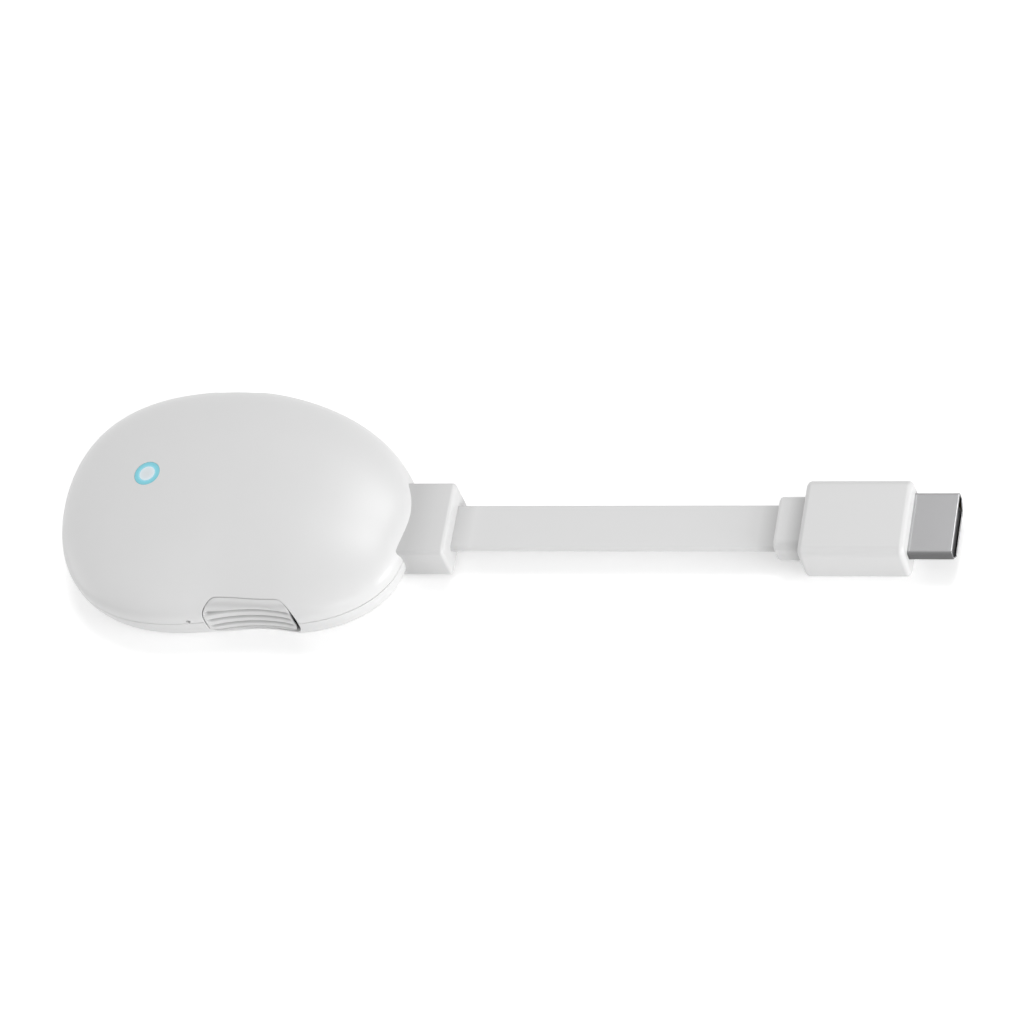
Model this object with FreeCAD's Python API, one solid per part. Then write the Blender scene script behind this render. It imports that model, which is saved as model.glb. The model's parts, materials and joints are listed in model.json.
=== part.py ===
"""Streaming stick: a pebble-shaped case, a short flat cable and a video plug.

Millimetres, +Z up, +X from the case towards the plug. The origin is on the surface that the stick
lies on, under the middle of the case with its cable block.
"""
import FreeCAD
import Part
import math
import os

V = FreeCAD.Vector

# Case form: radii of the plan outline at the parting line, every 30 degrees from +X
CASE_RADII = (37.5, 32.1, 28.3, 28.4, 32.5, 39.2, 39.4, 36.9, 29.7, 25.2, 29.6, 37.1)
CASE_X = -2.7
CASE_Y = -1.45
CASE_HEIGHT = 14.3
SEAM_Z = 6.2
WALL = 1.6
DOME_PLAN_POWER = 2.1
DOME_RISE_POWER = 3.0
BASE_TUCK = 0.07
BASE_TUCK_POWER = 2.6
CROWN_FLAT = 0.1
LOWER_SECTIONS = 4
UPPER_SECTIONS = 12
SECTION_CROWDING = 1.3

# Parting line: a fine open groove outside, a tongue and a rabbet inside
SEAM_GAP = 0.15
TONGUE_HEIGHT = 1.0
TONGUE_CLEARANCE = 0.05
LAND_DEPTH = 2.3

# Cable block, its neck through the case wall and the flange that the case holds
AXIS_Y = -3.85
AXIS_Z = 5.0
BLOCK_END_X = 42.2
BLOCK_WIDTH = 16.8
BLOCK_HEIGHT = 8.5
BLOCK_ROUND = 0.8
NECK_WIDTH = 12.4
NECK_HEIGHT = 5.2
NECK_ROUND = 1.2
NECK_CLEARANCE = 0.1
NECK_LAND_DEPTH = 3.7
FLANGE_WIDTH = 14.4
FLANGE_HEIGHT = 5.8
FLANGE_THICKNESS = 1.5
KEEPER_THICKNESS = 1.1
KEEPER_WIDTH = 2.4

# Flat cable and plug
CABLE_WIDTH = 10.4
CABLE_THICKNESS = 1.6
CABLE_LENGTH = 67.0
COLLAR_LENGTH = 5.5
COLLAR_WIDTH = 12.3
COLLAR_HEIGHT = 6.4
COLLAR_ROUND = 1.8
COLLAR_END_ROUND = 0.7
GRIP_LENGTH = 21.4
GRIP_WIDTH = 17.3
GRIP_HEIGHT = 10.0
GRIP_ROUND = 1.8
GRIP_END_ROUND = 1.1
PLUG_WIDTH = 13.9
PLUG_HEIGHT = 4.45
PLUG_SIDE = 2.4
PLUG_TAPER = 1.75
PLUG_SHEET = 0.35
PLUG_REACH = 8.9
PLUG_HIDDEN = 8.0
INSULATOR_SETBACK = 0.8
INSULATOR_CLEARANCE = 0.05
SLOT_WIDTH = 11.2
SLOT_HEIGHT = 1.9
SLOT_DEPTH = 7.0
CONTACT_PITCH = 1.0
CONTACT_WIDTH = 0.45
CONTACT_THICKNESS = 0.2
UPPER_CONTACT_COUNT = 10
LOWER_CONTACT_COUNT = 9
CAN_LENGTH = 7.5
CAN_SHEET = 0.4
FERRULE_WIDTH = 9.4
FERRULE_HEIGHT = 3.2
FERRULE_SHEET = 0.5

# Side button in its window
BUTTON_X = 3.3
BUTTON_WIDTH = 19.0
BUTTON_LOW = 1.2
BUTTON_BELOW_CROWN = 3.3
BUTTON_CORNER = 3.0
BUTTON_END_ROUND = 0.5
BUTTON_WALL = 1.4
BUTTON_GAP = 0.15
WINDOW_END_GAP = 0.8
WINDOW_END_CORNER = 4.2
SCOOP_DEPTH = 1.2
UNDERCUT_Z = 3.0
UNDERCUT_ANGLE = 18.0
GROOVE_DEPTH = 0.5
GROOVE_WIDTH = 0.9
GROOVE_LOW = 2.75
GROOVE_PITCH = 2.05
GROOVE_COUNT = 4
EAR_REACH = 1.3
EAR_THICKNESS = 1.0
EAR_HEIGHT = 5.0
EAR_GAP = 0.1
POST_WIDTH = 3.0
POST_HEIGHT = 2.6

# Circuit board and the posts that carry it
BOARD_UNDER = 3.8
BOARD_THICKNESS = 1.0
BOARD_INSET = 3.0
BOARD_MARGIN = 3.0
SCREW_PLACES = ((-20.0, -16.0), (-20.0, 17.0), (19.0, 10.0))
SCREW_RADIUS = 0.8
SCREW_HEAD_RADIUS = 1.5
SCREW_HEAD_HEIGHT = 0.9
SCREW_LENGTH = 3.4
SCREW_CLEARANCE = 0.15
POST_RADIUS = 2.1
HEAD_SLOT = 0.35

# Switches at the front edge of the board
SWITCH_SETBACK = 0.35
SWITCH_WIDTH = 6.0
SWITCH_LENGTH = 3.4
SWITCH_HEIGHT = 3.4
PLUNGER_WIDTH = 2.6
PLUNGER_HEIGHT = 1.6
PLUNGER_REACH = 1.0
PLUNGER_DEPTH = 1.2
PLUNGER_CLEARANCE = 0.06
PLUNGER_ROOM = 0.5
PLUNGER_CORNER = 0.2
PINHOLE_X = -9.6
PINHOLE_Z = 7.0
PINHOLE_RADIUS = 0.5
RESET_WIDTH = 4.2
RESET_HEIGHT = 3.6
RESET_PLUNGER = 1.5

# Light ring
RING_X = -22.9
RING_Y = 4.15
RING_OUTER = 2.75
RING_LINE = 1.0
RING_DEPTH = 1.8
RING_CLEARANCE = 0.04
GUIDE_SHARE = 0.9
GUIDE_FLOOR = 0.7
GUIDE_FLANGE = 3.7
GUIDE_FLANGE_HEIGHT = 0.8
GUIDE_STEM = 1.8
LED_LENGTH = 3.2
LED_WIDTH = 2.4
LED_HEIGHT = 1.0
LED_GAP = 0.2
RING_BOSS = 4.6
SHROUD_WALL = 0.7
SHROUD_GAP = 0.4

# Power inlet in its recess
INLET_X = -8.7
INLET_WIDTH = 7.8
INLET_HEIGHT = 2.9
INLET_LENGTH = 5.6
INLET_SHEET = 0.3
INLET_TAPER = 1.0
INLET_GAP = 0.25
MOUTH_ROUND = 0.5
RECESS_WIDTH = 12.0
RECESS_HEIGHT = 7.0
RECESS_ROUND = 2.6
RECESS_DEPTH = 1.3
TONGUE_WIDTH = 5.6
TONGUE_THICKNESS = 0.6
TONGUE_SETBACK = 1.0
INLET_CONTACT_COUNT = 5
INLET_PITCH = 0.65

# Chips, shield and cooling
PROCESSOR_SIZE = 13.0
PROCESSOR_HEIGHT = 1.2
MEMORY_WIDTH = 9.0
MEMORY_LENGTH = 13.0
MEMORY_HEIGHT = 1.0
SHIELD_X = 2.0
SHIELD_Y = 3.0
SHIELD_LENGTH = 30.0
SHIELD_WIDTH = 20.0
SHIELD_HEIGHT = 1.9
SHIELD_SHEET = 0.3
CHIP_MARGIN = 2.0
PAD_SIZE = 11.0
SPREADER_LENGTH = 33.0
SPREADER_WIDTH = 23.0
SPREADER_THICKNESS = 0.9
SPREADER_RIM = 1.2
SPREADER_CORNER = 2.0

# Radio, antennas and the small parts of the board
CHIP_CORNER = 0.3
RADIO_X = -31.0
RADIO_Y = -6.0
RADIO_LENGTH = 10.0
RADIO_WIDTH = 12.0
RADIO_BASE = 0.6
RADIO_CAN = 1.3
RADIO_RIM = 0.8
ANTENNA_LENGTH = 13.0
ANTENNA_WIDTH = 3.0
ANTENNA_RISE = 2.4
ANTENNA_SHEET = 0.3
ANTENNA_FOOT = 0.9
ANTENNA_FEET_APART = 4.0
ANTENNA_LEFT = (-29.0, 12.0)
ANTENNA_RIGHT = (16.0, -17.5)
FLASH_PLACE = (17.0, -14.0)
FLASH_LENGTH = 8.0
FLASH_WIDTH = 6.0
FLASH_HEIGHT = 0.8
CONVERTER_PLACE = (-16.5, 8.0)
CONVERTER_SIZE = 3.0
CONVERTER_HEIGHT = 0.9
INDUCTOR_PLACES = ((2.5, 19.0), (8.0, 18.0))
INDUCTOR_SIZE = 4.0
INDUCTOR_HEIGHT = 2.0
INDUCTOR_CORNER = 0.8
CAPACITOR_PLACES = ((-3.0, -9.5), (-5.0, -9.5), (-7.0, -9.5), (12.0, -10.0), (14.0, -10.0),
                    (-16.0, 15.0), (-16.0, 12.0), (12.5, 16.5))
CAPACITOR_LENGTH = 1.2
CAPACITOR_WIDTH = 2.0
CAPACITOR_HEIGHT = 1.1
CRYSTAL_PLACE = (-17.0, -8.0)
CRYSTAL_LENGTH = 3.2
CRYSTAL_WIDTH = 2.5
CRYSTAL_HEIGHT = 0.8
CONNECTOR_LENGTH = 4.6
CONNECTOR_WIDTH = 12.0
CONNECTOR_HEIGHT = 2.2
CONNECTOR_MARGIN = 1.0
LEAD_WIDTH = 8.6
LEAD_HEIGHT = 1.0

# Longer than any piece, for cutting halves and slabs
FAR = 60.0


# Basic forms

def block(x0, x1, y0, y1, z0, z1):
    return Part.makeBox(x1 - x0, y1 - y0, z1 - z0, V(x0, y0, z0))


def block_on(x, y, z, length, width, height):
    return block(x - length / 2, x + length / 2, y - width / 2, y + width / 2, z, z + height)


def post(x, y, z0, z1, radius):
    return Part.makeCylinder(radius, z1 - z0, V(x, y, z0))


def edges_along(shape, direction):
    found = []
    for edge in shape.Edges:
        if edge.Curve.TypeId != "Part::GeomLine":
            continue
        way = edge.Vertexes[-1].Point.sub(edge.Vertexes[0].Point)
        if abs(abs(way.normalize().dot(direction)) - 1) < 1e-6:
            found.append(edge)
    return found


def rounded_bar(x0, x1, y, z, width, height, radius):
    bar = block(x0, x1, y - width / 2, y + width / 2, z - height / 2, z + height / 2)
    return bar.makeFillet(radius, edges_along(bar, V(1, 0, 0)))


def rounded_plate(x, y, z, length, width, height, radius):
    plate = block_on(x, y, z, length, width, height)
    return plate.makeFillet(radius, edges_along(plate, V(0, 0, 1)))


def upright_bar(x, z_low, z_high, y0, y1, width, radius):
    bar = block(x - width / 2, x + width / 2, y0, y1, z_low, z_high)
    return bar.makeFillet(radius, edges_along(bar, V(0, 1, 0)))


def fused(shapes):
    whole = shapes[0]
    for shape in shapes[1:]:
        whole = whole.fuse(shape)
    return whole.removeSplitter()


def cut(shape, tools):
    for tool in tools:
        shape = shape.cut(tool)
    return shape


# Case form

def outline(inset, scale, z):
    turn = 2 * math.pi / len(CASE_RADII)
    points = []
    for index, radius in enumerate(CASE_RADII):
        reach = (radius - inset) * scale
        points.append(V(CASE_X + reach * math.cos(index * turn),
                        CASE_Y + reach * math.sin(index * turn), z))
    curve = Part.BSplineCurve()
    curve.interpolate(Points=points, PeriodicFlag=True)
    return Part.Wire(curve.toShape())


def pebble(inset):
    rise = CASE_HEIGHT - inset - SEAM_Z
    drop = SEAM_Z - inset
    sections = []
    for step in range(LOWER_SECTIONS, 0, -1):
        depth = step / LOWER_SECTIONS
        tuck = 1 - BASE_TUCK * depth ** BASE_TUCK_POWER
        sections.append(outline(inset, tuck, SEAM_Z - depth * drop))
    for step in range(UPPER_SECTIONS + 1):
        angle = math.pi / 2 * (step / UPPER_SECTIONS) ** SECTION_CROWDING
        scale = max(math.cos(angle), 0.0) ** (2 / DOME_PLAN_POWER)
        height = math.sin(angle) ** (2 / DOME_RISE_POWER)
        sections.append(outline(inset, max(scale, CROWN_FLAT), SEAM_Z + rise * height))
    return Part.makeLoft(sections, True)


def outline_prism(inset, z0, z1):
    return Part.Face(outline(inset, 1, z0)).extrude(V(0, 0, z1 - z0))


def above(z):
    return block(-FAR, FAR, -FAR, FAR, z, FAR)


def below(z):
    return block(-FAR, FAR, -FAR, FAR, -FAR, z)


# Side button

SCOOP_RADIUS = ((BUTTON_WIDTH / 2) ** 2 + SCOOP_DEPTH ** 2) / (2 * SCOOP_DEPTH)
FRONT_Y = CASE_Y - CASE_RADII[9]
WINDOW_LAND_Y = FRONT_Y + WALL + LAND_DEPTH
EAR_Y = WINDOW_LAND_Y + EAR_GAP
BUTTON_BACK_Y = EAR_Y + EAR_THICKNESS
BUTTON_HIGH = CASE_HEIGHT - BUTTON_BELOW_CROWN
BUTTON_MID_Z = (BUTTON_LOW + BUTTON_HIGH) / 2


def scoop(inset):
    """The finger hollow round the upright axis."""
    centre = FRONT_Y + SCOOP_DEPTH - SCOOP_RADIUS
    return Part.makeCylinder(SCOOP_RADIUS + inset, FAR, V(BUTTON_X, centre, 0))


def undercut(inset):
    """The same hollow tilted back below UNDERCUT_Z, where the case's base draws in."""
    tilt = math.radians(UNDERCUT_ANGLE)
    way = V(0, math.sin(tilt), -math.cos(tilt))
    middle = V(BUTTON_X, FRONT_Y + SCOOP_DEPTH - SCOOP_RADIUS * math.cos(tilt),
               UNDERCUT_Z - SCOOP_RADIUS * math.sin(tilt))
    return Part.makeCylinder(SCOOP_RADIUS + inset, 2 * FAR, middle - way * FAR, way)


def button_form(inset, rim, outer):
    """The button's full form, moved in by inset from its face and ends, by rim above and below."""
    half = BUTTON_WIDTH / 2 - inset
    plan = block(BUTTON_X - half, BUTTON_X + half, FRONT_Y - WALL, 0, 0, CASE_HEIGHT)
    plan = plan.cut(scoop(inset))
    tips = []
    for edge in edges_along(plan, V(0, 0, 1)):
        if edge.Vertexes[0].Y < WINDOW_LAND_Y:
            tips.append(edge)
    plan = plan.makeFillet(BUTTON_END_ROUND, tips)
    front = upright_bar(BUTTON_X, BUTTON_LOW + rim, BUTTON_HIGH - rim, FRONT_Y - WALL, 0,
                        BUTTON_WIDTH - 2 * rim, BUTTON_CORNER - rim / 2)
    return plan.common(front).common(outer).cut(undercut(inset))


def side_button(case_form):
    face = button_form(0, 0, case_form)
    floor = button_form(GROOVE_DEPTH, 0, pebble(GROOVE_DEPTH))
    inside = button_form(BUTTON_WALL, BUTTON_WALL, pebble(BUTTON_WALL))
    skin = face.cut(floor)
    for index in range(GROOVE_COUNT):
        z = GROOVE_LOW + GROOVE_PITCH * index
        slab = block(-FAR, FAR, -FAR, FAR, z - GROOVE_WIDTH / 2, z + GROOVE_WIDTH / 2)
        face = face.cut(skin.common(slab))
    cup = face.cut(inside).common(block(-FAR, FAR, -FAR, BUTTON_BACK_Y, 0, CASE_HEIGHT))
    half = BUTTON_WIDTH / 2
    pieces = [cup]
    for side in (-1, 1):
        inner = BUTTON_X + side * (half - BUTTON_WALL)
        outer = BUTTON_X + side * (half + EAR_REACH)
        pieces.append(block(min(inner, outer), max(inner, outer), EAR_Y, BUTTON_BACK_Y,
                            BUTTON_MID_Z - EAR_HEIGHT / 2, BUTTON_MID_Z + EAR_HEIGHT / 2))
    pieces.append(block(BUTTON_X - POST_WIDTH / 2, BUTTON_X + POST_WIDTH / 2,
                        FRONT_Y + SCOOP_DEPTH + BUTTON_WALL / 2, PLUNGER_TIP_Y,
                        PLUNGER_Z - POST_HEIGHT / 2, PLUNGER_Z + POST_HEIGHT / 2))
    return fused(pieces)


def button_window():
    """Close round the button, and wider past its end towards the plug."""
    low = BUTTON_LOW - BUTTON_GAP
    high = BUTTON_HIGH + BUTTON_GAP
    front = FRONT_Y - 2 * WALL
    back = WINDOW_LAND_Y + 2 * LAND_DEPTH
    close = upright_bar(BUTTON_X, low, high, front, back, BUTTON_WIDTH + 2 * BUTTON_GAP,
                        BUTTON_CORNER + BUTTON_GAP)
    end_x = BUTTON_X + BUTTON_WIDTH / 2 + WINDOW_END_GAP
    wide = upright_bar((BUTTON_X + end_x) / 2, low, high, front, back, end_x - BUTTON_X,
                       WINDOW_END_CORNER)
    return fused([close, wide])


# Places on the board

BOARD_TOP = BOARD_UNDER + BOARD_THICKNESS
BOARD_FRONT_Y = WINDOW_LAND_Y + BOARD_MARGIN
RECESS_Y = CASE_Y + CASE_RADII[3] - RECESS_DEPTH
INLET_LAND_Y = RECESS_Y - WALL
INLET_Z = BOARD_TOP + INLET_HEIGHT / 2
BLOCK_LAND_X = CASE_X + CASE_RADII[0] - WALL - NECK_LAND_DEPTH
BOARD_END_X = BLOCK_LAND_X - FLANGE_THICKNESS - BOARD_MARGIN
SWITCH_FRONT_Y = BOARD_FRONT_Y + SWITCH_SETBACK
PLUNGER_TIP_Y = SWITCH_FRONT_Y - PLUNGER_REACH
PLUNGER_Z = BOARD_TOP + SWITCH_HEIGHT / 2
LID_UNDER = BOARD_TOP + SHIELD_HEIGHT
GUIDE_TOP = SEAM_Z + (CASE_HEIGHT - SEAM_Z) * GUIDE_SHARE - RING_DEPTH


def case_cavity():
    """The space inside the case, held back where the wall is thick and flat inside:
    round the window, the inlet, the neck and the light guide."""
    cavity = pebble(WALL)
    half_window = BUTTON_WIDTH / 2 + EAR_REACH + WALL / 2
    window = block(BUTTON_X - half_window, BUTTON_X + half_window, -FAR, WINDOW_LAND_Y, 0, FAR)
    half_inlet = RECESS_WIDTH / 2 + WALL
    inlet = block(INLET_X - half_inlet, INLET_X + half_inlet, INLET_LAND_Y, FAR, 0, FAR)
    half_neck = FLANGE_WIDTH / 2 + WALL / 2
    neck = block(BLOCK_LAND_X, FAR, AXIS_Y - half_neck, AXIS_Y + half_neck, 0, FAR)
    boss = post(RING_X, RING_Y, GUIDE_TOP, CASE_HEIGHT, RING_BOSS)
    return cut(cavity, [window, inlet, neck, boss])


def wall_cuts():
    """What passes through the wall of both shells."""
    recess = upright_bar(INLET_X, INLET_Z - RECESS_HEIGHT / 2, INLET_Z + RECESS_HEIGHT / 2,
                         RECESS_Y, FAR, RECESS_WIDTH, RECESS_ROUND)
    mouth = upright_bar(INLET_X, INLET_Z - INLET_HEIGHT / 2 - INLET_GAP,
                        INLET_Z + INLET_HEIGHT / 2 + INLET_GAP, INLET_LAND_Y - WALL, FAR,
                        INLET_WIDTH + 2 * INLET_GAP, MOUTH_ROUND)
    neck = rounded_bar(BLOCK_LAND_X - WALL, BLOCK_END_X, AXIS_Y, AXIS_Z,
                       NECK_WIDTH + 2 * NECK_CLEARANCE, NECK_HEIGHT + 2 * NECK_CLEARANCE, NECK_ROUND)
    pinhole = Part.makeCylinder(PINHOLE_RADIUS, 3 * WALL, V(PINHOLE_X, FRONT_Y - 2 * WALL, PINHOLE_Z),
                                V(0, 1, 0))
    hollow = undercut(0).common(below(BUTTON_LOW))
    return [button_window(), hollow, recess, mouth, neck, pinhole]


def upper_shell(case_form, cavity):
    shell = case_form.common(above(SEAM_Z + SEAM_GAP)).cut(cavity)
    rabbet = outline_prism(WALL / 2, SEAM_Z, SEAM_Z + TONGUE_HEIGHT)
    hole = post(RING_X, RING_Y, 0, CASE_HEIGHT + WALL, RING_OUTER + RING_CLEARANCE)
    return cut(shell, [rabbet, hole] + wall_cuts())


def lower_shell(case_form, cavity):
    tongue = outline_prism(WALL / 2 + TONGUE_CLEARANCE, SEAM_Z - TONGUE_HEIGHT, SEAM_Z + TONGUE_HEIGHT)
    shell = case_form.common(below(SEAM_Z)).fuse(tongue).cut(cavity)
    pieces = [shell]
    for x, y in SCREW_PLACES:
        pieces.append(post(x, y, WALL / 2, BOARD_UNDER, POST_RADIUS))
    keeper_x = BLOCK_LAND_X - FLANGE_THICKNESS
    for side in (-1, 1):
        y = AXIS_Y + side * (FLANGE_WIDTH - KEEPER_WIDTH) / 2
        pieces.append(block(keeper_x - KEEPER_THICKNESS, keeper_x, y - KEEPER_WIDTH / 2,
                            y + KEEPER_WIDTH / 2, WALL / 2, AXIS_Z + FLANGE_HEIGHT / 2))
    shell = fused(pieces)
    pilots = []
    for x, y in SCREW_PLACES:
        pilots.append(post(x, y, BOARD_TOP - SCREW_LENGTH, BOARD_TOP, SCREW_RADIUS))
    return cut(shell, pilots + wall_cuts())


# Cable block, cable and plug

CABLE_END_X = BLOCK_END_X + CABLE_LENGTH
GRIP_X = CABLE_END_X + COLLAR_LENGTH
GRIP_END_X = GRIP_X + GRIP_LENGTH
PLUG_END_X = GRIP_END_X + PLUG_REACH
PLUG_BACK_X = GRIP_END_X - PLUG_HIDDEN
INSULATOR_END_X = PLUG_END_X - INSULATOR_SETBACK


def end_edges(shape, x):
    found = []
    for edge in shape.Edges:
        if abs(edge.BoundBox.XMin - x) < 1e-4 and abs(edge.BoundBox.XMax - x) < 1e-4:
            found.append(edge)
    return found


def cable_block(case_form):
    outside = rounded_bar(BLOCK_LAND_X, BLOCK_END_X, AXIS_Y, AXIS_Z, BLOCK_WIDTH, BLOCK_HEIGHT,
                          BLOCK_ROUND)
    outside = outside.makeFillet(BLOCK_ROUND * 0.98, end_edges(outside, BLOCK_END_X))
    outside = outside.cut(case_form)
    neck = rounded_bar(BLOCK_LAND_X - FLANGE_THICKNESS, BLOCK_END_X - 2 * BLOCK_ROUND, AXIS_Y, AXIS_Z,
                       NECK_WIDTH, NECK_HEIGHT, NECK_ROUND)
    flange = rounded_bar(BLOCK_LAND_X - FLANGE_THICKNESS, BLOCK_LAND_X, AXIS_Y, AXIS_Z,
                         FLANGE_WIDTH, FLANGE_HEIGHT, NECK_ROUND)
    return fused([outside, neck, flange])


def stadium_bar(x0, x1, y, z, width, height):
    radius = height / 2
    flat = width / 2 - radius
    corners = [V(x0, y - flat, z - radius), V(x0, y + flat, z - radius),
               V(x0, y + flat, z + radius), V(x0, y - flat, z + radius)]
    edges = [Part.makeLine(corners[0], corners[1]),
             Part.Arc(corners[1], V(x0, y + width / 2, z), corners[2]).toShape(),
             Part.makeLine(corners[2], corners[3]),
             Part.Arc(corners[3], V(x0, y - width / 2, z), corners[0]).toShape()]
    return Part.Face(Part.Wire(edges)).extrude(V(x1 - x0, 0, 0))


def flat_cable():
    cable = stadium_bar(BLOCK_END_X, CABLE_END_X, AXIS_Y, AXIS_Z, CABLE_WIDTH, CABLE_THICKNESS)
    flat = CABLE_WIDTH - CABLE_THICKNESS
    section = flat * CABLE_THICKNESS + math.pi * (CABLE_THICKNESS / 2) ** 2
    print("cable: one straight run, volume %.1f, section times length %.1f"
          % (cable.Volume, section * CABLE_LENGTH))
    return cable


def plug_collar():
    collar = rounded_bar(CABLE_END_X, GRIP_X, AXIS_Y, AXIS_Z, COLLAR_WIDTH, COLLAR_HEIGHT, COLLAR_ROUND)
    return collar.makeFillet(COLLAR_END_ROUND, end_edges(collar, CABLE_END_X))


def d_section(x0, x1, inset):
    """The plug's section, wide side up, with its two lower corners cut off."""
    half = PLUG_WIDTH / 2 - inset
    top = AXIS_Z + PLUG_HEIGHT / 2 - inset
    low = AXIS_Z - PLUG_HEIGHT / 2 + inset
    knee = AXIS_Z + PLUG_HEIGHT / 2 - PLUG_SIDE
    foot = half - PLUG_TAPER
    profile = [V(x0, AXIS_Y - half, top), V(x0, AXIS_Y + half, top), V(x0, AXIS_Y + half, knee),
               V(x0, AXIS_Y + foot, low), V(x0, AXIS_Y - foot, low), V(x0, AXIS_Y - half, knee)]
    return Part.Face(Part.makePolygon(profile + profile[:1])).extrude(V(x1 - x0, 0, 0))


def plug_shell():
    tube = d_section(PLUG_BACK_X, PLUG_END_X, 0)
    tube = tube.makeFillet(PLUG_SHEET, edges_along(tube, V(1, 0, 0)))
    return tube.cut(d_section(PLUG_BACK_X, PLUG_END_X, PLUG_SHEET))


def plug_insulator():
    body = d_section(PLUG_BACK_X, INSULATOR_END_X, PLUG_SHEET + INSULATOR_CLEARANCE)
    slot = block(INSULATOR_END_X - SLOT_DEPTH, INSULATOR_END_X, AXIS_Y - SLOT_WIDTH / 2,
                 AXIS_Y + SLOT_WIDTH / 2, AXIS_Z - SLOT_HEIGHT / 2, AXIS_Z + SLOT_HEIGHT / 2)
    return body.cut(slot)


def plug_contacts(count, z0):
    contacts = []
    for index in range(count):
        y = AXIS_Y + (index - (count - 1) / 2) * CONTACT_PITCH
        contacts.append(block(INSULATOR_END_X - SLOT_DEPTH, INSULATOR_END_X - CONTACT_WIDTH,
                              y - CONTACT_WIDTH / 2, y + CONTACT_WIDTH / 2,
                              z0, z0 + CONTACT_THICKNESS))
    return Part.makeCompound(contacts)


def plug_can():
    """The metal box round the back of the insulator, open towards the cable."""
    x0 = PLUG_BACK_X - CAN_LENGTH
    outer = block(x0, PLUG_BACK_X, AXIS_Y - PLUG_WIDTH / 2, AXIS_Y + PLUG_WIDTH / 2,
                  AXIS_Z - GRIP_HEIGHT / 3, AXIS_Z + GRIP_HEIGHT / 3)
    inner = block(x0, PLUG_BACK_X, AXIS_Y - PLUG_WIDTH / 2 + CAN_SHEET,
                  AXIS_Y + PLUG_WIDTH / 2 - CAN_SHEET,
                  AXIS_Z - GRIP_HEIGHT / 3 + CAN_SHEET, AXIS_Z + GRIP_HEIGHT / 3 - CAN_SHEET)
    return outer.cut(inner)


def ferrule_space(inset):
    return rounded_bar(GRIP_X, PLUG_BACK_X - CAN_LENGTH, AXIS_Y, AXIS_Z,
                       FERRULE_WIDTH - 2 * inset, FERRULE_HEIGHT - 2 * inset,
                       FERRULE_HEIGHT / 3 - inset)


def crimp_ferrule():
    return ferrule_space(0).cut(ferrule_space(FERRULE_SHEET))


def plug_wires():
    wires = ferrule_space(FERRULE_SHEET)
    spread = rounded_bar(PLUG_BACK_X - CAN_LENGTH, PLUG_BACK_X, AXIS_Y, AXIS_Z,
                         FERRULE_WIDTH - 2 * FERRULE_SHEET, FERRULE_HEIGHT - 2 * FERRULE_SHEET,
                         FERRULE_HEIGHT / 3 - FERRULE_SHEET)
    return fused([wires, spread])


def plug_grip():
    grip = rounded_bar(GRIP_X, GRIP_END_X, AXIS_Y, AXIS_Z, GRIP_WIDTH, GRIP_HEIGHT, GRIP_ROUND)
    grip = grip.makeFillet(GRIP_END_ROUND, end_edges(grip, GRIP_END_X) + end_edges(grip, GRIP_X))
    can = block(PLUG_BACK_X - CAN_LENGTH, PLUG_BACK_X, AXIS_Y - PLUG_WIDTH / 2, AXIS_Y + PLUG_WIDTH / 2,
                AXIS_Z - GRIP_HEIGHT / 3, AXIS_Z + GRIP_HEIGHT / 3)
    shell = d_section(PLUG_BACK_X, PLUG_END_X, 0)
    shell = shell.makeFillet(PLUG_SHEET, edges_along(shell, V(1, 0, 0)))
    return cut(grip, [can, shell, ferrule_space(0)])


# Light ring

def light_ring(case_form):
    rim = post(RING_X, RING_Y, GUIDE_TOP, CASE_HEIGHT, RING_OUTER).cut(
        post(RING_X, RING_Y, GUIDE_TOP + GUIDE_FLOOR, CASE_HEIGHT, RING_OUTER - RING_LINE))
    rim = rim.common(case_form)
    flange = post(RING_X, RING_Y, GUIDE_TOP - GUIDE_FLANGE_HEIGHT, GUIDE_TOP, GUIDE_FLANGE)
    stem = post(RING_X, RING_Y, BOARD_TOP + LED_HEIGHT + LED_GAP, GUIDE_TOP - GUIDE_FLANGE_HEIGHT,
                GUIDE_STEM)
    return fused([rim, flange, stem])


def ring_cap(case_form):
    return post(RING_X, RING_Y, GUIDE_TOP + GUIDE_FLOOR, CASE_HEIGHT,
                RING_OUTER - RING_LINE - RING_CLEARANCE).common(case_form)


def light_shroud():
    top = GUIDE_TOP - GUIDE_FLANGE_HEIGHT
    radius = GUIDE_STEM + SHROUD_GAP
    return post(RING_X, RING_Y, BOARD_TOP, top, radius + SHROUD_WALL).cut(
        post(RING_X, RING_Y, BOARD_TOP, top, radius))


# Board and what is on it

def main_board():
    board = outline_prism(WALL + BOARD_INSET, BOARD_UNDER, BOARD_TOP)
    board = board.common(block(-FAR, BOARD_END_X, BOARD_FRONT_Y, INLET_LAND_Y - INLET_GAP, 0, FAR))
    holes = []
    for x, y in SCREW_PLACES:
        holes.append(post(x, y, 0, BOARD_TOP, SCREW_RADIUS + SCREW_CLEARANCE))
    return cut(board, holes)


def board_screws():
    screws = []
    for x, y in SCREW_PLACES:
        shank = post(x, y, BOARD_TOP - SCREW_LENGTH, BOARD_TOP, SCREW_RADIUS)
        head = post(x, y, BOARD_TOP, BOARD_TOP + SCREW_HEAD_HEIGHT, SCREW_HEAD_RADIUS)
        screw = fused([shank, head])
        for length, width in ((2 * SCREW_RADIUS, HEAD_SLOT), (HEAD_SLOT, 2 * SCREW_RADIUS)):
            screw = screw.cut(block_on(x, y, BOARD_TOP + SCREW_HEAD_HEIGHT / 2, length, width,
                                       SCREW_HEAD_HEIGHT))
        screws.append(screw)
    return Part.makeCompound(screws)


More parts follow.
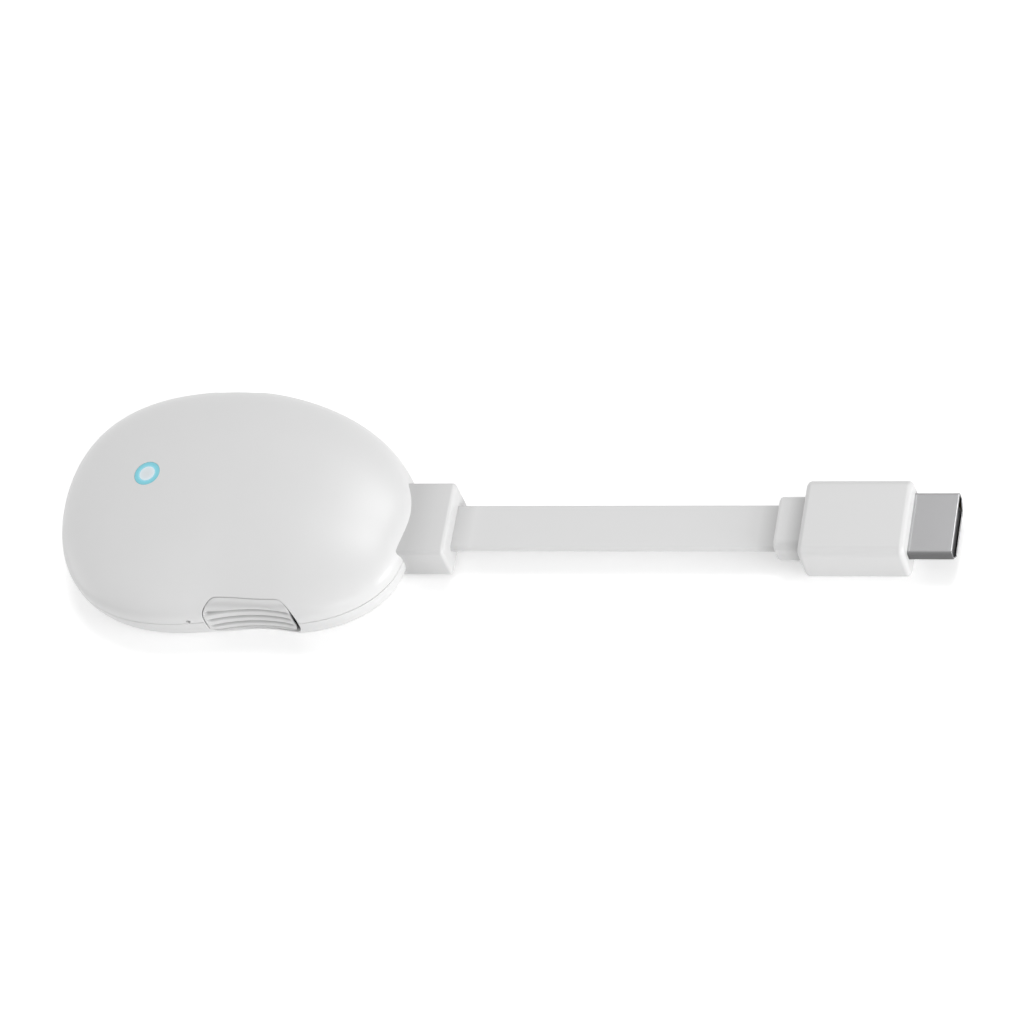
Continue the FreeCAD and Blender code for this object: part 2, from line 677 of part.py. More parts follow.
def switch_body(x, z, width, height, plunger_width, plunger_height):
    body = block(x - width / 2, x + width / 2, SWITCH_FRONT_Y, SWITCH_FRONT_Y + SWITCH_LENGTH,
                 BOARD_TOP, BOARD_TOP + height)
    grow = 2 * PLUNGER_CLEARANCE
    bore = block(x - (plunger_width + grow) / 2, x + (plunger_width + grow) / 2, SWITCH_FRONT_Y,
                 SWITCH_FRONT_Y + PLUNGER_DEPTH + PLUNGER_ROOM,
                 z - (plunger_height + grow) / 2, z + (plunger_height + grow) / 2)
    return body.cut(bore)


def switch_plunger(x, z, width, height):
    plunger = block(x - width / 2, x + width / 2, PLUNGER_TIP_Y, SWITCH_FRONT_Y + PLUNGER_DEPTH,
                    z - height / 2, z + height / 2)
    return plunger.makeFillet(PLUNGER_CORNER, edges_along(plunger, V(0, 1, 0)))


def power_inlet_section(y0, y1, inset):
    half = INLET_WIDTH / 2 - inset
    top = INLET_Z + INLET_HEIGHT / 2 - inset
    low = INLET_Z - INLET_HEIGHT / 2 + inset
    foot = half - INLET_TAPER
    profile = [V(INLET_X - half, y0, top), V(INLET_X + half, y0, top), V(INLET_X + half, y0, INLET_Z),
               V(INLET_X + foot, y0, low), V(INLET_X - foot, y0, low), V(INLET_X - half, y0, INLET_Z)]
    return Part.Face(Part.makePolygon(profile + profile[:1])).extrude(V(0, y1 - y0, 0))


INLET_BACK_Y = RECESS_Y - INLET_LENGTH


def power_inlet_shell():
    return power_inlet_section(INLET_BACK_Y, RECESS_Y, 0).cut(
        power_inlet_section(INLET_BACK_Y + INLET_SHEET, RECESS_Y, INLET_SHEET))


def power_inlet_tongue():
    root = power_inlet_section(INLET_BACK_Y + INLET_SHEET, INLET_BACK_Y + 5 * INLET_SHEET, INLET_SHEET)
    tongue = block_on(INLET_X, (INLET_BACK_Y + RECESS_Y) / 2, INLET_Z, TONGUE_WIDTH,
                      INLET_LENGTH - 2 * INLET_SHEET - TONGUE_SETBACK, TONGUE_THICKNESS)
    return fused([root, tongue])


def power_inlet_contacts():
    contacts = []
    for index in range(INLET_CONTACT_COUNT):
        x = INLET_X + (index - (INLET_CONTACT_COUNT - 1) / 2) * INLET_PITCH
        contacts.append(block(x - INLET_PITCH / 4, x + INLET_PITCH / 4,
                              INLET_BACK_Y + 5 * INLET_SHEET, RECESS_Y - 4 * INLET_SHEET,
                              INLET_Z - CONTACT_THICKNESS, INLET_Z))
    return Part.makeCompound(contacts)


def shield_fence():
    outer = block_on(SHIELD_X, SHIELD_Y, BOARD_TOP, SHIELD_LENGTH, SHIELD_WIDTH, SHIELD_HEIGHT)
    inner = block_on(SHIELD_X, SHIELD_Y, BOARD_TOP, SHIELD_LENGTH - 2 * SHIELD_SHEET,
                     SHIELD_WIDTH - 2 * SHIELD_SHEET, SHIELD_HEIGHT)
    return outer.cut(inner)


def shield_lid():
    skirt = SHIELD_HEIGHT / 2
    cover = rounded_plate(SHIELD_X, SHIELD_Y, LID_UNDER - skirt, SHIELD_LENGTH + 2 * SHIELD_SHEET,
                          SHIELD_WIDTH + 2 * SHIELD_SHEET, skirt + SHIELD_SHEET, SHIELD_SHEET)
    return cover.cut(block_on(SHIELD_X, SHIELD_Y, LID_UNDER - skirt, SHIELD_LENGTH, SHIELD_WIDTH, skirt))


PROCESSOR_X = SHIELD_X - SHIELD_LENGTH / 2 + PROCESSOR_SIZE / 2 + CHIP_MARGIN
MEMORY_X = SHIELD_X + SHIELD_LENGTH / 2 - MEMORY_WIDTH / 2 - CHIP_MARGIN
SPREADER_Z = LID_UNDER + SHIELD_SHEET


def heat_spreader():
    plate = rounded_plate(SHIELD_X, SHIELD_Y, SPREADER_Z, SPREADER_LENGTH, SPREADER_WIDTH,
                          SPREADER_THICKNESS + SPREADER_RIM, SPREADER_CORNER)
    trough = block_on(SHIELD_X, SHIELD_Y, SPREADER_Z + SPREADER_THICKNESS, SPREADER_LENGTH + WALL,
                      SPREADER_WIDTH - 2 * SPREADER_THICKNESS, SPREADER_RIM)
    return plate.cut(trough)


def radio_module():
    base = rounded_plate(RADIO_X, RADIO_Y, BOARD_TOP, RADIO_LENGTH, RADIO_WIDTH, RADIO_BASE, CHIP_CORNER)
    can = rounded_plate(RADIO_X, RADIO_Y, BOARD_TOP + RADIO_BASE, RADIO_LENGTH - RADIO_RIM,
                        RADIO_WIDTH - RADIO_RIM, RADIO_CAN, CHIP_CORNER)
    return fused([base, can])


def antenna(x, y):
    """A bent metal strip: two feet on the board and a raised arm."""
    pieces = [block_on(x, y, BOARD_TOP + ANTENNA_RISE, ANTENNA_LENGTH, ANTENNA_WIDTH, ANTENNA_SHEET)]
    first_foot = x - (ANTENNA_LENGTH - ANTENNA_FOOT) / 2
    for place in (first_foot, first_foot + ANTENNA_FEET_APART):
        pieces.append(block_on(place, y - (ANTENNA_WIDTH - ANTENNA_SHEET) / 2, BOARD_TOP, ANTENNA_FOOT,
                               ANTENNA_SHEET, ANTENNA_RISE + ANTENNA_SHEET))
    return fused(pieces)


def chip_row(places, length, width, height):
    return Part.makeCompound([block_on(x, y, BOARD_TOP, length, width, height) for x, y in places])


def inductors():
    coils = []
    for x, y in INDUCTOR_PLACES:
        coils.append(rounded_plate(x, y, BOARD_TOP, INDUCTOR_SIZE, INDUCTOR_SIZE, INDUCTOR_HEIGHT,
                                   INDUCTOR_CORNER))
    return Part.makeCompound(coils)


CONNECTOR_X = BOARD_END_X - CONNECTOR_MARGIN - CONNECTOR_LENGTH / 2
LEAD_Z = BOARD_TOP + CONNECTOR_HEIGHT / 2


def board_connector():
    return rounded_plate(CONNECTOR_X, AXIS_Y, BOARD_TOP, CONNECTOR_LENGTH, CONNECTOR_WIDTH,
                         CONNECTOR_HEIGHT, CHIP_CORNER)


def cable_leads():
    return stadium_bar(CONNECTOR_X + CONNECTOR_LENGTH / 2, BLOCK_LAND_X - FLANGE_THICKNESS, AXIS_Y,
                       LEAD_Z, LEAD_WIDTH, LEAD_HEIGHT)


def pieces():
    case_form = pebble(0)
    cavity = case_cavity()
    slot_top = AXIS_Z + SLOT_HEIGHT / 2
    return {
        "upper_shell": upper_shell(case_form, cavity),
        "lower_shell": lower_shell(case_form, cavity),
        "side_button": side_button(case_form),
        "light_ring": light_ring(case_form),
        "ring_cap": ring_cap(case_form),
        "light_shroud": light_shroud(),
        "ring_led": block_on(RING_X, RING_Y, BOARD_TOP, LED_LENGTH, LED_WIDTH, LED_HEIGHT),
        "main_board": main_board(),
        "board_screws": board_screws(),
        "button_switch": switch_body(BUTTON_X, PLUNGER_Z, SWITCH_WIDTH, SWITCH_HEIGHT,
                                     PLUNGER_WIDTH, PLUNGER_HEIGHT),
        "button_switch_plunger": switch_plunger(BUTTON_X, PLUNGER_Z, PLUNGER_WIDTH, PLUNGER_HEIGHT),
        "reset_switch": switch_body(PINHOLE_X, PINHOLE_Z, RESET_WIDTH, RESET_HEIGHT,
                                    RESET_PLUNGER, RESET_PLUNGER),
        "reset_switch_plunger": switch_plunger(PINHOLE_X, PINHOLE_Z, RESET_PLUNGER, RESET_PLUNGER),
        "power_inlet_shell": power_inlet_shell(),
        "power_inlet_tongue": power_inlet_tongue(),
        "power_inlet_contacts": power_inlet_contacts(),
        "processor": block_on(PROCESSOR_X, SHIELD_Y, BOARD_TOP, PROCESSOR_SIZE, PROCESSOR_SIZE,
                              PROCESSOR_HEIGHT),
        "memory_chip": block_on(MEMORY_X, SHIELD_Y, BOARD_TOP, MEMORY_WIDTH, MEMORY_LENGTH,
                                MEMORY_HEIGHT),
        "flash_chip": block_on(*FLASH_PLACE, BOARD_TOP, FLASH_LENGTH, FLASH_WIDTH, FLASH_HEIGHT),
        "thermal_pad": block_on(PROCESSOR_X, SHIELD_Y, BOARD_TOP + PROCESSOR_HEIGHT, PAD_SIZE, PAD_SIZE,
                                SHIELD_HEIGHT - PROCESSOR_HEIGHT),
        "shield_fence": shield_fence(),
        "shield_lid": shield_lid(),
        "heat_spreader": heat_spreader(),
        "radio_module": radio_module(),
        "antenna_left": antenna(*ANTENNA_LEFT),
        "antenna_right": antenna(*ANTENNA_RIGHT),
        "power_converter": block_on(*CONVERTER_PLACE, BOARD_TOP, CONVERTER_SIZE, CONVERTER_SIZE,
                                    CONVERTER_HEIGHT),
        "inductors": inductors(),
        "capacitors": chip_row(CAPACITOR_PLACES, CAPACITOR_LENGTH, CAPACITOR_WIDTH,
                               CAPACITOR_HEIGHT),
        "crystal": rounded_plate(*CRYSTAL_PLACE, BOARD_TOP, CRYSTAL_LENGTH, CRYSTAL_WIDTH,
                                 CRYSTAL_HEIGHT, CHIP_CORNER),
        "board_connector": board_connector(),
        "cable_leads": cable_leads(),
        "cable_block": cable_block(case_form),
        "flat_cable": flat_cable(),
        "plug_collar": plug_collar(),
        "plug_grip": plug_grip(),
        "plug_shell": plug_shell(),
        "plug_insulator": plug_insulator(),
        "plug_contacts_upper": plug_contacts(UPPER_CONTACT_COUNT, slot_top - CONTACT_THICKNESS),
        "plug_contacts_lower": plug_contacts(LOWER_CONTACT_COUNT, AXIS_Z - SLOT_HEIGHT / 2),
        "plug_can": plug_can(),
        "crimp_ferrule": crimp_ferrule(),
        "plug_wires": plug_wires(),
    }


os.makedirs("parts", exist_ok=True)
for name, shape in pieces().items():
    shape.exportStep("parts/%s.step" % name)
    print("%-24s solids %d volume %.2f" % (name, len(shape.Solids), shape.Volume))
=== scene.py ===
import json
import math

import bmesh
import bpy
import numpy as np
from mathutils import Matrix, Vector

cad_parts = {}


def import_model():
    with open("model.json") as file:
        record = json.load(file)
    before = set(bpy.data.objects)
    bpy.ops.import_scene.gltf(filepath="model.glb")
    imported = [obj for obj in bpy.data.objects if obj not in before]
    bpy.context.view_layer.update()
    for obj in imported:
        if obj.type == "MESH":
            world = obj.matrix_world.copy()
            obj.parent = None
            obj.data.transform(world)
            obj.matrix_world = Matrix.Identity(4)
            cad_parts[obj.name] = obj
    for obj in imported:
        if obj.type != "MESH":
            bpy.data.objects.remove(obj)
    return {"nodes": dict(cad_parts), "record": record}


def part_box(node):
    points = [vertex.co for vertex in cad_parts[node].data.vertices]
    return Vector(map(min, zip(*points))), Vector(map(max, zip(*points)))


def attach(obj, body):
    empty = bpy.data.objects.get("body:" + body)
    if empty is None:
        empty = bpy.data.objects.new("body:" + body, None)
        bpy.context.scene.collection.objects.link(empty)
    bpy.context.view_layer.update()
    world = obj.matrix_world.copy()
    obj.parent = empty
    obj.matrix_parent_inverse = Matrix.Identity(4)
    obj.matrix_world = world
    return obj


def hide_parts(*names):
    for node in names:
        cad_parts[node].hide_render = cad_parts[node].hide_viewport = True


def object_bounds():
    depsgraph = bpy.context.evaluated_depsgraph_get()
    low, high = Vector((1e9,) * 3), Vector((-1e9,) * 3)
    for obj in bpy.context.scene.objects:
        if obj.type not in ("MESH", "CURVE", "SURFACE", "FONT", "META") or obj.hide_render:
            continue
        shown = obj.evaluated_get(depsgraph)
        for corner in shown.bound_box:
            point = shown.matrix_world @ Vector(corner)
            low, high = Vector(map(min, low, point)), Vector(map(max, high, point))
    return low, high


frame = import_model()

# The looks of a streaming stick, in metres and in the part's own frame: +X runs from the case along
# the cable, +Y from the side button to the power inlet, and +Z up
MM = 0.001
CAD_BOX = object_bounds()

# Case form, as in the solids: its radii stand 30 degrees apart, from +X towards +Y
CASE_RADII = np.array((37.5, 32.1, 28.3, 28.4, 32.5, 39.2, 39.4, 36.9, 29.7, 25.2, 29.6, 37.1)) * MM
CASE_X = -2.7 * MM
CASE_Y = -1.45 * MM
CASE_RIGHT = CASE_X + CASE_RADII[0]
CASE_FRONT = CASE_Y - CASE_RADII[9]
CASE_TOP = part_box("upper_shell")[1].z
SEAM_Z = 6.2 * MM
WALL = 1.6 * MM
DOME_PLAN_POWER = 2.1
DOME_RISE_POWER = 3.0
BASE_TUCK = 0.07
BASE_TUCK_POWER = 2.6
SEAM_GAP = 0.15 * MM
SEAM_LIP = 0.22 * MM
BASE_LIP = 0.9 * MM
TONGUE_HEIGHT = 1.0 * MM
TONGUE_GAP = SEAM_GAP / 3

# The small hollow of the case in front of the cable block
NECK_HOLLOW = 1.1 * MM
NECK_HOLLOW_ANGLE = math.radians(-13)
NECK_HOLLOW_SPREAD = math.radians(9)

# How finely the case is divided
SEGMENTS = 256
DOME_RINGS = 72
BASE_RINGS = 22
BASE_LIP_RINGS = 8
CAVITY_SEGMENTS = 96
CAVITY_DOME_RINGS = 20
CAVITY_BASE_RINGS = 4
LIP_STEPS = 6
CROWN_BIAS = 1.25
CROWN_SCALE = 0.004
BISECTIONS = 44
FAR_OUT = 45 * MM

# Normals
SHARP = math.radians(32)
BUTTON_SHARP = math.radians(60)
NEAR_FORM = math.radians(20)
ON_FORM = 0.0008
SLOPE_STEP = 0.002 * MM

# Side button and its window
BUTTON_LOW, BUTTON_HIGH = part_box("side_button")
BUTTON_X = 3.3 * MM
BUTTON_HALF = 9.5 * MM
BUTTON_CORNER = 3.0 * MM
BUTTON_GAP = 0.15 * MM
BUTTON_TIP = 0.3 * MM
BUTTON_LIP = 0.25 * MM
BUTTON_SKIN = 0.2 * MM
BUTTON_SETBACK = 2.0 * MM
BUTTON_SETBACK_DEPTH = 1.3 * MM
BUTTON_TRIM = 0.35 * MM
BUTTON_TRIM_TOP = 9.6 * MM
BUTTON_COLUMNS = 130
BUTTON_ROWS = 150
WINDOW_LIP = 0.12 * MM
WINDOW_END_GAP = 0.8 * MM
WINDOW_END_CORNER = 4.2 * MM
WINDOW_BACK = -19 * MM
SCOOP_DEPTH = 1.2 * MM
SCOOP_RADIUS = (BUTTON_HALF ** 2 + SCOOP_DEPTH ** 2) / (2 * SCOOP_DEPTH)
SCOOP_BLEND = 0.12 * MM
HOLLOW_SHIFT = 0.9 * MM
UNDERCUT_Z = 3.0 * MM
UNDERCUT_ANGLE = math.radians(18)
UNDERCUT_HALF = 18 * MM
UNDERCUT_POINTS = 49
GROOVE_WIDTH = 1.2 * MM
GROOVE_END = 1.3 * MM
GROOVES = ((2.45 * MM, 0.6 * MM), (4.5 * MM, 0.6 * MM), (6.6 * MM, 0.6 * MM),
           (8.85 * MM, 0.55 * MM), (10.3 * MM, 0.16 * MM))

# Pinhole, light ring and power inlet
PINHOLE_X = -9.6 * MM
PINHOLE_Z = 7.0 * MM
PINHOLE_RADIUS = 0.5 * MM
RING_X = -22.9 * MM
RING_Y = 4.15 * MM
RING_OUTER = 2.75 * MM
RING_LINE = 1.0 * MM
RING_INNER = RING_OUTER - RING_LINE
RING_CLEARANCE = 0.04 * MM
RING_DEPTH = 1.1 * MM
RING_ROUND = 0.09 * MM
RING_ROUND_STEPS = 4
RING_SEGMENTS = 96
CAP_RINGS = 12
CAP_MIDDLE = 0.01
CAP_BOTTOM_MIDDLE = 0.001
INLET_LOW, INLET_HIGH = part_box("power_inlet_shell")
INLET_MIDDLE = (INLET_LOW + INLET_HIGH) / 2
INLET_GAP = 0.25 * MM
INLET_CORNER = 0.5 * MM
RECESS_WIDTH = 12.0 * MM
RECESS_HEIGHT = 7.0 * MM
RECESS_CORNER = 2.6 * MM
RECESS_LIP = 0.2 * MM

# Cable, its block and its plug
BLOCK_LOW, BLOCK_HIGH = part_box("cable_block")
CABLE_LOW, CABLE_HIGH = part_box("flat_cable")
COLLAR_LOW, COLLAR_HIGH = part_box("plug_collar")
GRIP_LOW, GRIP_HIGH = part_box("plug_grip")
SHELL_LOW, SHELL_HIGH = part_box("plug_shell")
BLOCK_ROUND = 0.8 * MM
BLOCK_END_ROUND = BLOCK_ROUND * 0.98
BLOCK_EMBEDDED = 4.5 * MM
CABLE_EDGE = 0.98
CABLE_EDGE_STEPS = 14
COLLAR_ROUND = 1.8 * MM
COLLAR_END_ROUND = 0.7 * MM
GRIP_ROUND = 1.8 * MM
GRIP_END_ROUND = 1.1 * MM
PLUG_SHEET = 0.35 * MM
PLUG_CORNER = PLUG_SHEET * 1.6
PLUG_SIDE = 2.4 * MM
PLUG_TAPER = 1.75 * MM
PLUG_EDGE_STEPS = 8

# Painted shade: places along X, and how light the colour is there, darker where pieces meet and on
# the collar next to the taller grip
CABLE_SHADE_TONES = ((CABLE_LOW.x, 0.76),
               (CABLE_LOW.x + 4 * MM, 1.0),
               (CABLE_HIGH.x - 4 * MM, 1.0),
               (CABLE_HIGH.x - 0.05 * MM, 0.72),
               (CABLE_HIGH.x, 1.02),
               (COLLAR_HIGH.x - 3.2 * MM, 0.98),
               (COLLAR_HIGH.x, 0.62))
# Painted shade on the cable block, darker where it runs into the case
BLOCK_SHADE_TONES = ((BLOCK_HIGH.x - 8 * MM, 0.82),
               (BLOCK_HIGH.x - 3.5 * MM, 0.96),
               (BLOCK_HIGH.x - 1 * MM, 1.0))

# Surfaces: sizes of their grain, and how far their colour and gloss change
GRAIN_DETAIL = 3.0
GRAIN_ROUGHNESS = 0.6
CLOUD_SIZE = 9 * MM
CLOUD_DETAIL = 4.0
CLOUD_ROUGHNESS = 0.55
CLOUD_GLOSS = 0.03
NOISE_LOW = 0.3
NOISE_HIGH = 0.7
METAL_GRAIN = 0.2 * MM
METAL_GRAIN_STRETCH = (1, 12, 12)
METAL_GRAIN_DEPTH = 0.002 * MM
METAL_GRAIN_STRENGTH = 0.25
METAL_TONE = 0.05
METAL_GLOSS = 0.25

# Colour of the light, from the ring's axis outwards as shares of a reach
RING_REACH = RING_OUTER * 1.1
RING_EMISSION = 0.6
RING_GLOW = ((RING_INNER / RING_REACH, (0.22, 0.42, 0.46)),
             (RING_INNER / RING_REACH + 0.12, (0.06, 0.26, 0.32)),
             (RING_OUTER / RING_REACH, (0.04, 0.20, 0.22)))
# Painted light: the cap inside the ring glows with the ring's light, most next to the ring
CAP_PAINTED_GLOW_STRENGTH = 0.8
CAP_PAINTED_GLOW = ((0.0, (0.0, 0.02, 0.02)), (0.4, (0.02, 0.06, 0.08)), (0.72, (0.05, 0.20, 0.26)))

# Camera at the photograph's viewing angle
CAMERA_AZIMUTH = math.radians(31.44)
CAMERA_ELEVATION = math.radians(53.90)
CAMERA_ROLL = math.radians(-26.36)
CAMERA_DISTANCE = 1.02366
CAMERA_LENS = 179.9
CAMERA_SENSOR = 36
CAMERA_NEAR = 0.01
CAMERA_FAR = 20
LOOK_AT = Vector((52.98, 0.85, 3.73)) * MM

# Floor and light
FLOOR_HALF = 6
FLOOR_TONE = 0.90
FLOOR_ROUGHNESS = 0.7
FLOOR_SPECULAR = 0.1
FLOOR_GLOW = 0.35
AMBIENT = 0.53
LIGHT_AIM = Vector(((CAD_BOX[0].x + CAD_BOX[1].x) / 4, 0, 0))


def camera():
    back = Vector((math.sin(CAMERA_AZIMUTH) * math.cos(CAMERA_ELEVATION),
                   -math.cos(CAMERA_AZIMUTH) * math.cos(CAMERA_ELEVATION),
                   math.sin(CAMERA_ELEVATION)))
    level = Vector((math.cos(CAMERA_AZIMUTH), math.sin(CAMERA_AZIMUTH), 0))
    right = level * math.cos(CAMERA_ROLL) + back.cross(level) * math.sin(CAMERA_ROLL)
    turned = Matrix((right, back.cross(right), back)).transposed().to_4x4()
    data = bpy.data.cameras.new("camera")
    data.lens = CAMERA_LENS
    data.sensor_width = CAMERA_SENSOR
    data.clip_start = CAMERA_NEAR
    data.clip_end = CAMERA_FAR
    eye = bpy.data.objects.new("camera", data)
    eye.matrix_world = Matrix.Translation(LOOK_AT + back * CAMERA_DISTANCE) @ turned
    bpy.context.scene.collection.objects.link(eye)
    bpy.context.scene.camera = eye


# Meshes

def new_piece(name, points, faces):
    mesh = bpy.data.meshes.new(name)
    mesh.from_pydata([tuple(point) for point in points], [], faces)
    outward = bmesh.new()
    outward.from_mesh(mesh)
    bmesh.ops.recalc_face_normals(outward, faces=outward.faces)
    outward.to_mesh(mesh)
    outward.free()
    piece = bpy.data.objects.new(name, mesh)
    bpy.context.scene.collection.objects.link(piece)
    return piece


def looped(name, loops, closed=False):
    """A solid through loops of equal count: capped at both ends, or closed on itself."""
    count = len(loops[0])
    points = [point for loop in loops for point in loop]
    faces = []
    last = len(loops) if closed else len(loops) - 1
    for row in range(last):
        low = row * count
        high = (row + 1) % len(loops) * count
        for index in range(count):
            after = (index + 1) % count
            faces.append((low + index, low + after, high + after, high + index))
    if not closed:
        faces.append(tuple(range(count)))
        faces.append(tuple(range((len(loops) - 1) * count, len(loops) * count)))
    return new_piece(name, points, faces)


def carve(piece, tool, operation="DIFFERENCE"):
    """Takes the tool from the piece, or joins it, and deletes the tool."""
    step = piece.modifiers.new(operation, "BOOLEAN")
    step.operation = operation
    step.solver = "EXACT"
    step.object = tool
    bpy.context.view_layer.update()
    graph = bpy.context.evaluated_depsgraph_get()
    carved = bpy.data.meshes.new_from_object(piece.evaluated_get(graph))
    before = piece.data
    piece.modifiers.clear()
    piece.data = carved
    bpy.data.meshes.remove(before)
    bpy.data.meshes.remove(tool.data)


def shade(piece, form=None, sharp=SHARP):
    """Smooth normals by area, split at sharp edges, and the exact ones where form gives them."""
    mesh = piece.data
    for polygon in mesh.polygons:
        polygon.use_smooth = True
    faces_at = [[] for _ in mesh.vertices]
    for polygon in mesh.polygons:
        for corner in polygon.vertices:
            faces_at[corner].append(polygon.index)
    flat = [polygon.normal.copy() for polygon in mesh.polygons]
    area = [polygon.area for polygon in mesh.polygons]
    exact = form(mesh) if form else [None] * len(mesh.vertices)
    cos_sharp = math.cos(sharp)
    cos_near = math.cos(NEAR_FORM)
    normals = []
    for polygon in mesh.polygons:
        own = flat[polygon.index]
        for corner in polygon.vertices:
            if exact[corner] is not None and own.dot(exact[corner]) > cos_near:
                normals.append(exact[corner])
                continue
            total = Vector((0, 0, 0))
            for other in faces_at[corner]:
                if own.dot(flat[other]) > cos_sharp:
                    total += flat[other] * area[other]
            normals.append(total.normalized() if total.length > 0 else own)
    mesh.normals_split_custom_set(normals)


def dress(piece, body, slot, *nodes):
    """Rides the piece on its body, in its slot's material, in place of the solids in nodes."""
    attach(piece, body)
    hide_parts(*nodes)
    piece.data.materials.clear()
    piece.data.materials.append(MATERIALS[slot])
    return piece


def quarter(steps):
    """Angles from 0 to a right angle."""
    return [math.pi / 2 * step / steps for step in range(steps + 1)]


def section(corners, radius, inset=0.0, steps=10):
    """A convex polygon moved in by inset, with its corners rounded: points in two dimensions."""
    count = len(corners)
    lines = []
    for index in range(count):
        start = Vector(corners[index])
        way = (Vector(corners[(index + 1) % count]) - start).normalized()
        inward = Vector((-way.y, way.x))
        lines.append((start + inward * inset, way))
    least = 0.01 * MM
    bend = max(radius - inset, least)
    points = []
    for index in range(count):
        before, before_way = lines[index - 1]
        after, after_way = lines[index]
        across = before_way.x * after_way.y - before_way.y * after_way.x
        gap = after - before
        along = (gap.x * after_way.y - gap.y * after_way.x) / across
        corner = before + before_way * along
        turn = math.acos(max(-1.0, min(1.0, before_way.dot(after_way))))
        start = corner - before_way * bend * math.tan(turn / 2)
        centre = start + Vector((-before_way.y, before_way.x)) * bend
        arm = start - centre
        for step in range(steps + 1):
            angle = turn * step / steps
            points.append(centre + Vector((arm.x * math.cos(angle) - arm.y * math.sin(angle),
                                           arm.x * math.sin(angle) + arm.y * math.cos(angle))))
    return points


def upright(outline, x):
    """A section's points as a loop that stands at x."""
    return [(x, point.x, point.y) for point in outline]


def bar_end(corners, radius, x, inward, end_round, steps=10):
    """A bar's loops from its tip at x inwards: inward is 1 or -1, the way along X."""
    if not end_round:
        return [upright(section(corners, radius), x)]
    return [upright(section(corners, radius, end_round * (1 - math.sin(angle))),
                    x + inward * end_round * (1 - math.cos(angle))) for angle in quarter(steps)]


def bar(name, low, high, radius, low_round, high_round):
    """A bar along X between two corners of a box, with rounded long edges and ends."""
    corners = [(low.y, low.z), (high.y, low.z), (high.y, high.z), (low.y, high.z)]
    near_loops = bar_end(corners, radius, low.x, 1, low_round)
    far_loops = bar_end(corners, radius, high.x, -1, high_round)
    return looped(name, near_loops + far_loops[::-1])


# Case form

def spline_bends():
    """Second derivatives of the periodic cubic spline through the case's radii."""
    count = len(CASE_RADII)
    turn = 2 * math.pi / count
    system = np.zeros((count, count))
    right = np.zeros(count)
    for index in range(count):
        after = (index + 1) % count
        system[index, index] = 2 * turn / 3
        system[index, index - 1] = turn / 6
        system[index, after] = turn / 6
        right[index] = (CASE_RADII[after] - 2 * CASE_RADII[index] + CASE_RADII[index - 1]) / turn
    return np.linalg.solve(system, right)


BENDS = spline_bends()


def radius_at(angle):
    """The spline's radius, drawn in a little in front of the cable block."""
    off = np.mod(angle - NECK_HOLLOW_ANGLE + math.pi, 2 * math.pi) - math.pi
    hollow = NECK_HOLLOW * np.exp(-(off / NECK_HOLLOW_SPREAD) ** 2)
    count = len(CASE_RADII)
    turn = 2 * math.pi / count
    angle = np.mod(angle, 2 * math.pi)
    low = np.floor(angle / turn).astype(int) % count
    high = (low + 1) % count
    past = angle - low * turn
    left = turn - past
    return (BENDS[low] * left ** 3 / (6 * turn) + BENDS[high] * past ** 3 / (6 * turn)
            + (CASE_RADII[low] / turn - BENDS[low] * turn / 6) * left
            + (CASE_RADII[high] / turn - BENDS[high] * turn / 6) * past - hollow)


def form_value(x, y, z):
    """Below 0 inside the case's form, 0 on it."""
    across = x - CASE_X
    along = y - CASE_Y
    reach = np.hypot(across, along) / radius_at(np.arctan2(along, across))
    rise = np.clip((z - SEAM_Z) / (CASE_TOP - SEAM_Z), 0, None)
    drop = np.clip((SEAM_Z - z) / SEAM_Z, 0, None)
    dome = reach ** DOME_PLAN_POWER + rise ** DOME_RISE_POWER - 1
    side = reach - (1 - BASE_TUCK * drop ** BASE_TUCK_POWER)
    return np.where(z >= SEAM_Z, dome, side)


def form_normals(mesh):
    """The form's own normal at each vertex that lies on it, and None elsewhere."""
    points = np.zeros(len(mesh.vertices) * 3)
    mesh.vertices.foreach_get("co", points)
    x, y, z = points.reshape(-1, 3).T
    step = SLOPE_STEP
    slopes = np.stack([form_value(x + step, y, z) - form_value(x - step, y, z),
                       form_value(x, y + step, z) - form_value(x, y - step, z),
                       form_value(x, y, z + step) - form_value(x, y, z - step)], axis=1)
    return [Vector(slope).normalized() if abs(value) < ON_FORM else None
            for slope, value in zip(slopes, form_value(x, y, z))]


def side_y(x, z, side):
    """The form's surface at x and z, on the button's side where side is -1, on the inlet's at 1."""
    x = np.asarray(x, float)
    z = np.asarray(z, float)
    inner = np.full(np.broadcast(x, z).shape, CASE_Y)
    outer = inner + side * FAR_OUT
    for _ in range(BISECTIONS):
        middle = (inner + outer) / 2
        inside = form_value(x, middle, z) < 0
        inner = np.where(inside, middle, inner)
        outer = np.where(inside, outer, middle)
    return inner


def dome_z(x, y):
    across = x - CASE_X
    along = y - CASE_Y
    reach = math.hypot(across, along) / float(radius_at(math.atan2(along, across)))
    return SEAM_Z + (CASE_TOP - SEAM_Z) * (1 - reach ** DOME_PLAN_POWER) ** (1 / DOME_RISE_POWER)


def tuck(z):
    """How far the case reaches at z below the seam, as a share."""
    return 1 - BASE_TUCK * ((SEAM_Z - z) / SEAM_Z) ** BASE_TUCK_POWER


def case_ring(inset, scale, z, segments=SEGMENTS):
    angles = np.arange(segments) * 2 * math.pi / segments
    reach = (radius_at(angles) - inset) * scale
    return [(CASE_X + far * math.cos(angle), CASE_Y + far * math.sin(angle), z)
            for angle, far in zip(angles, reach)]


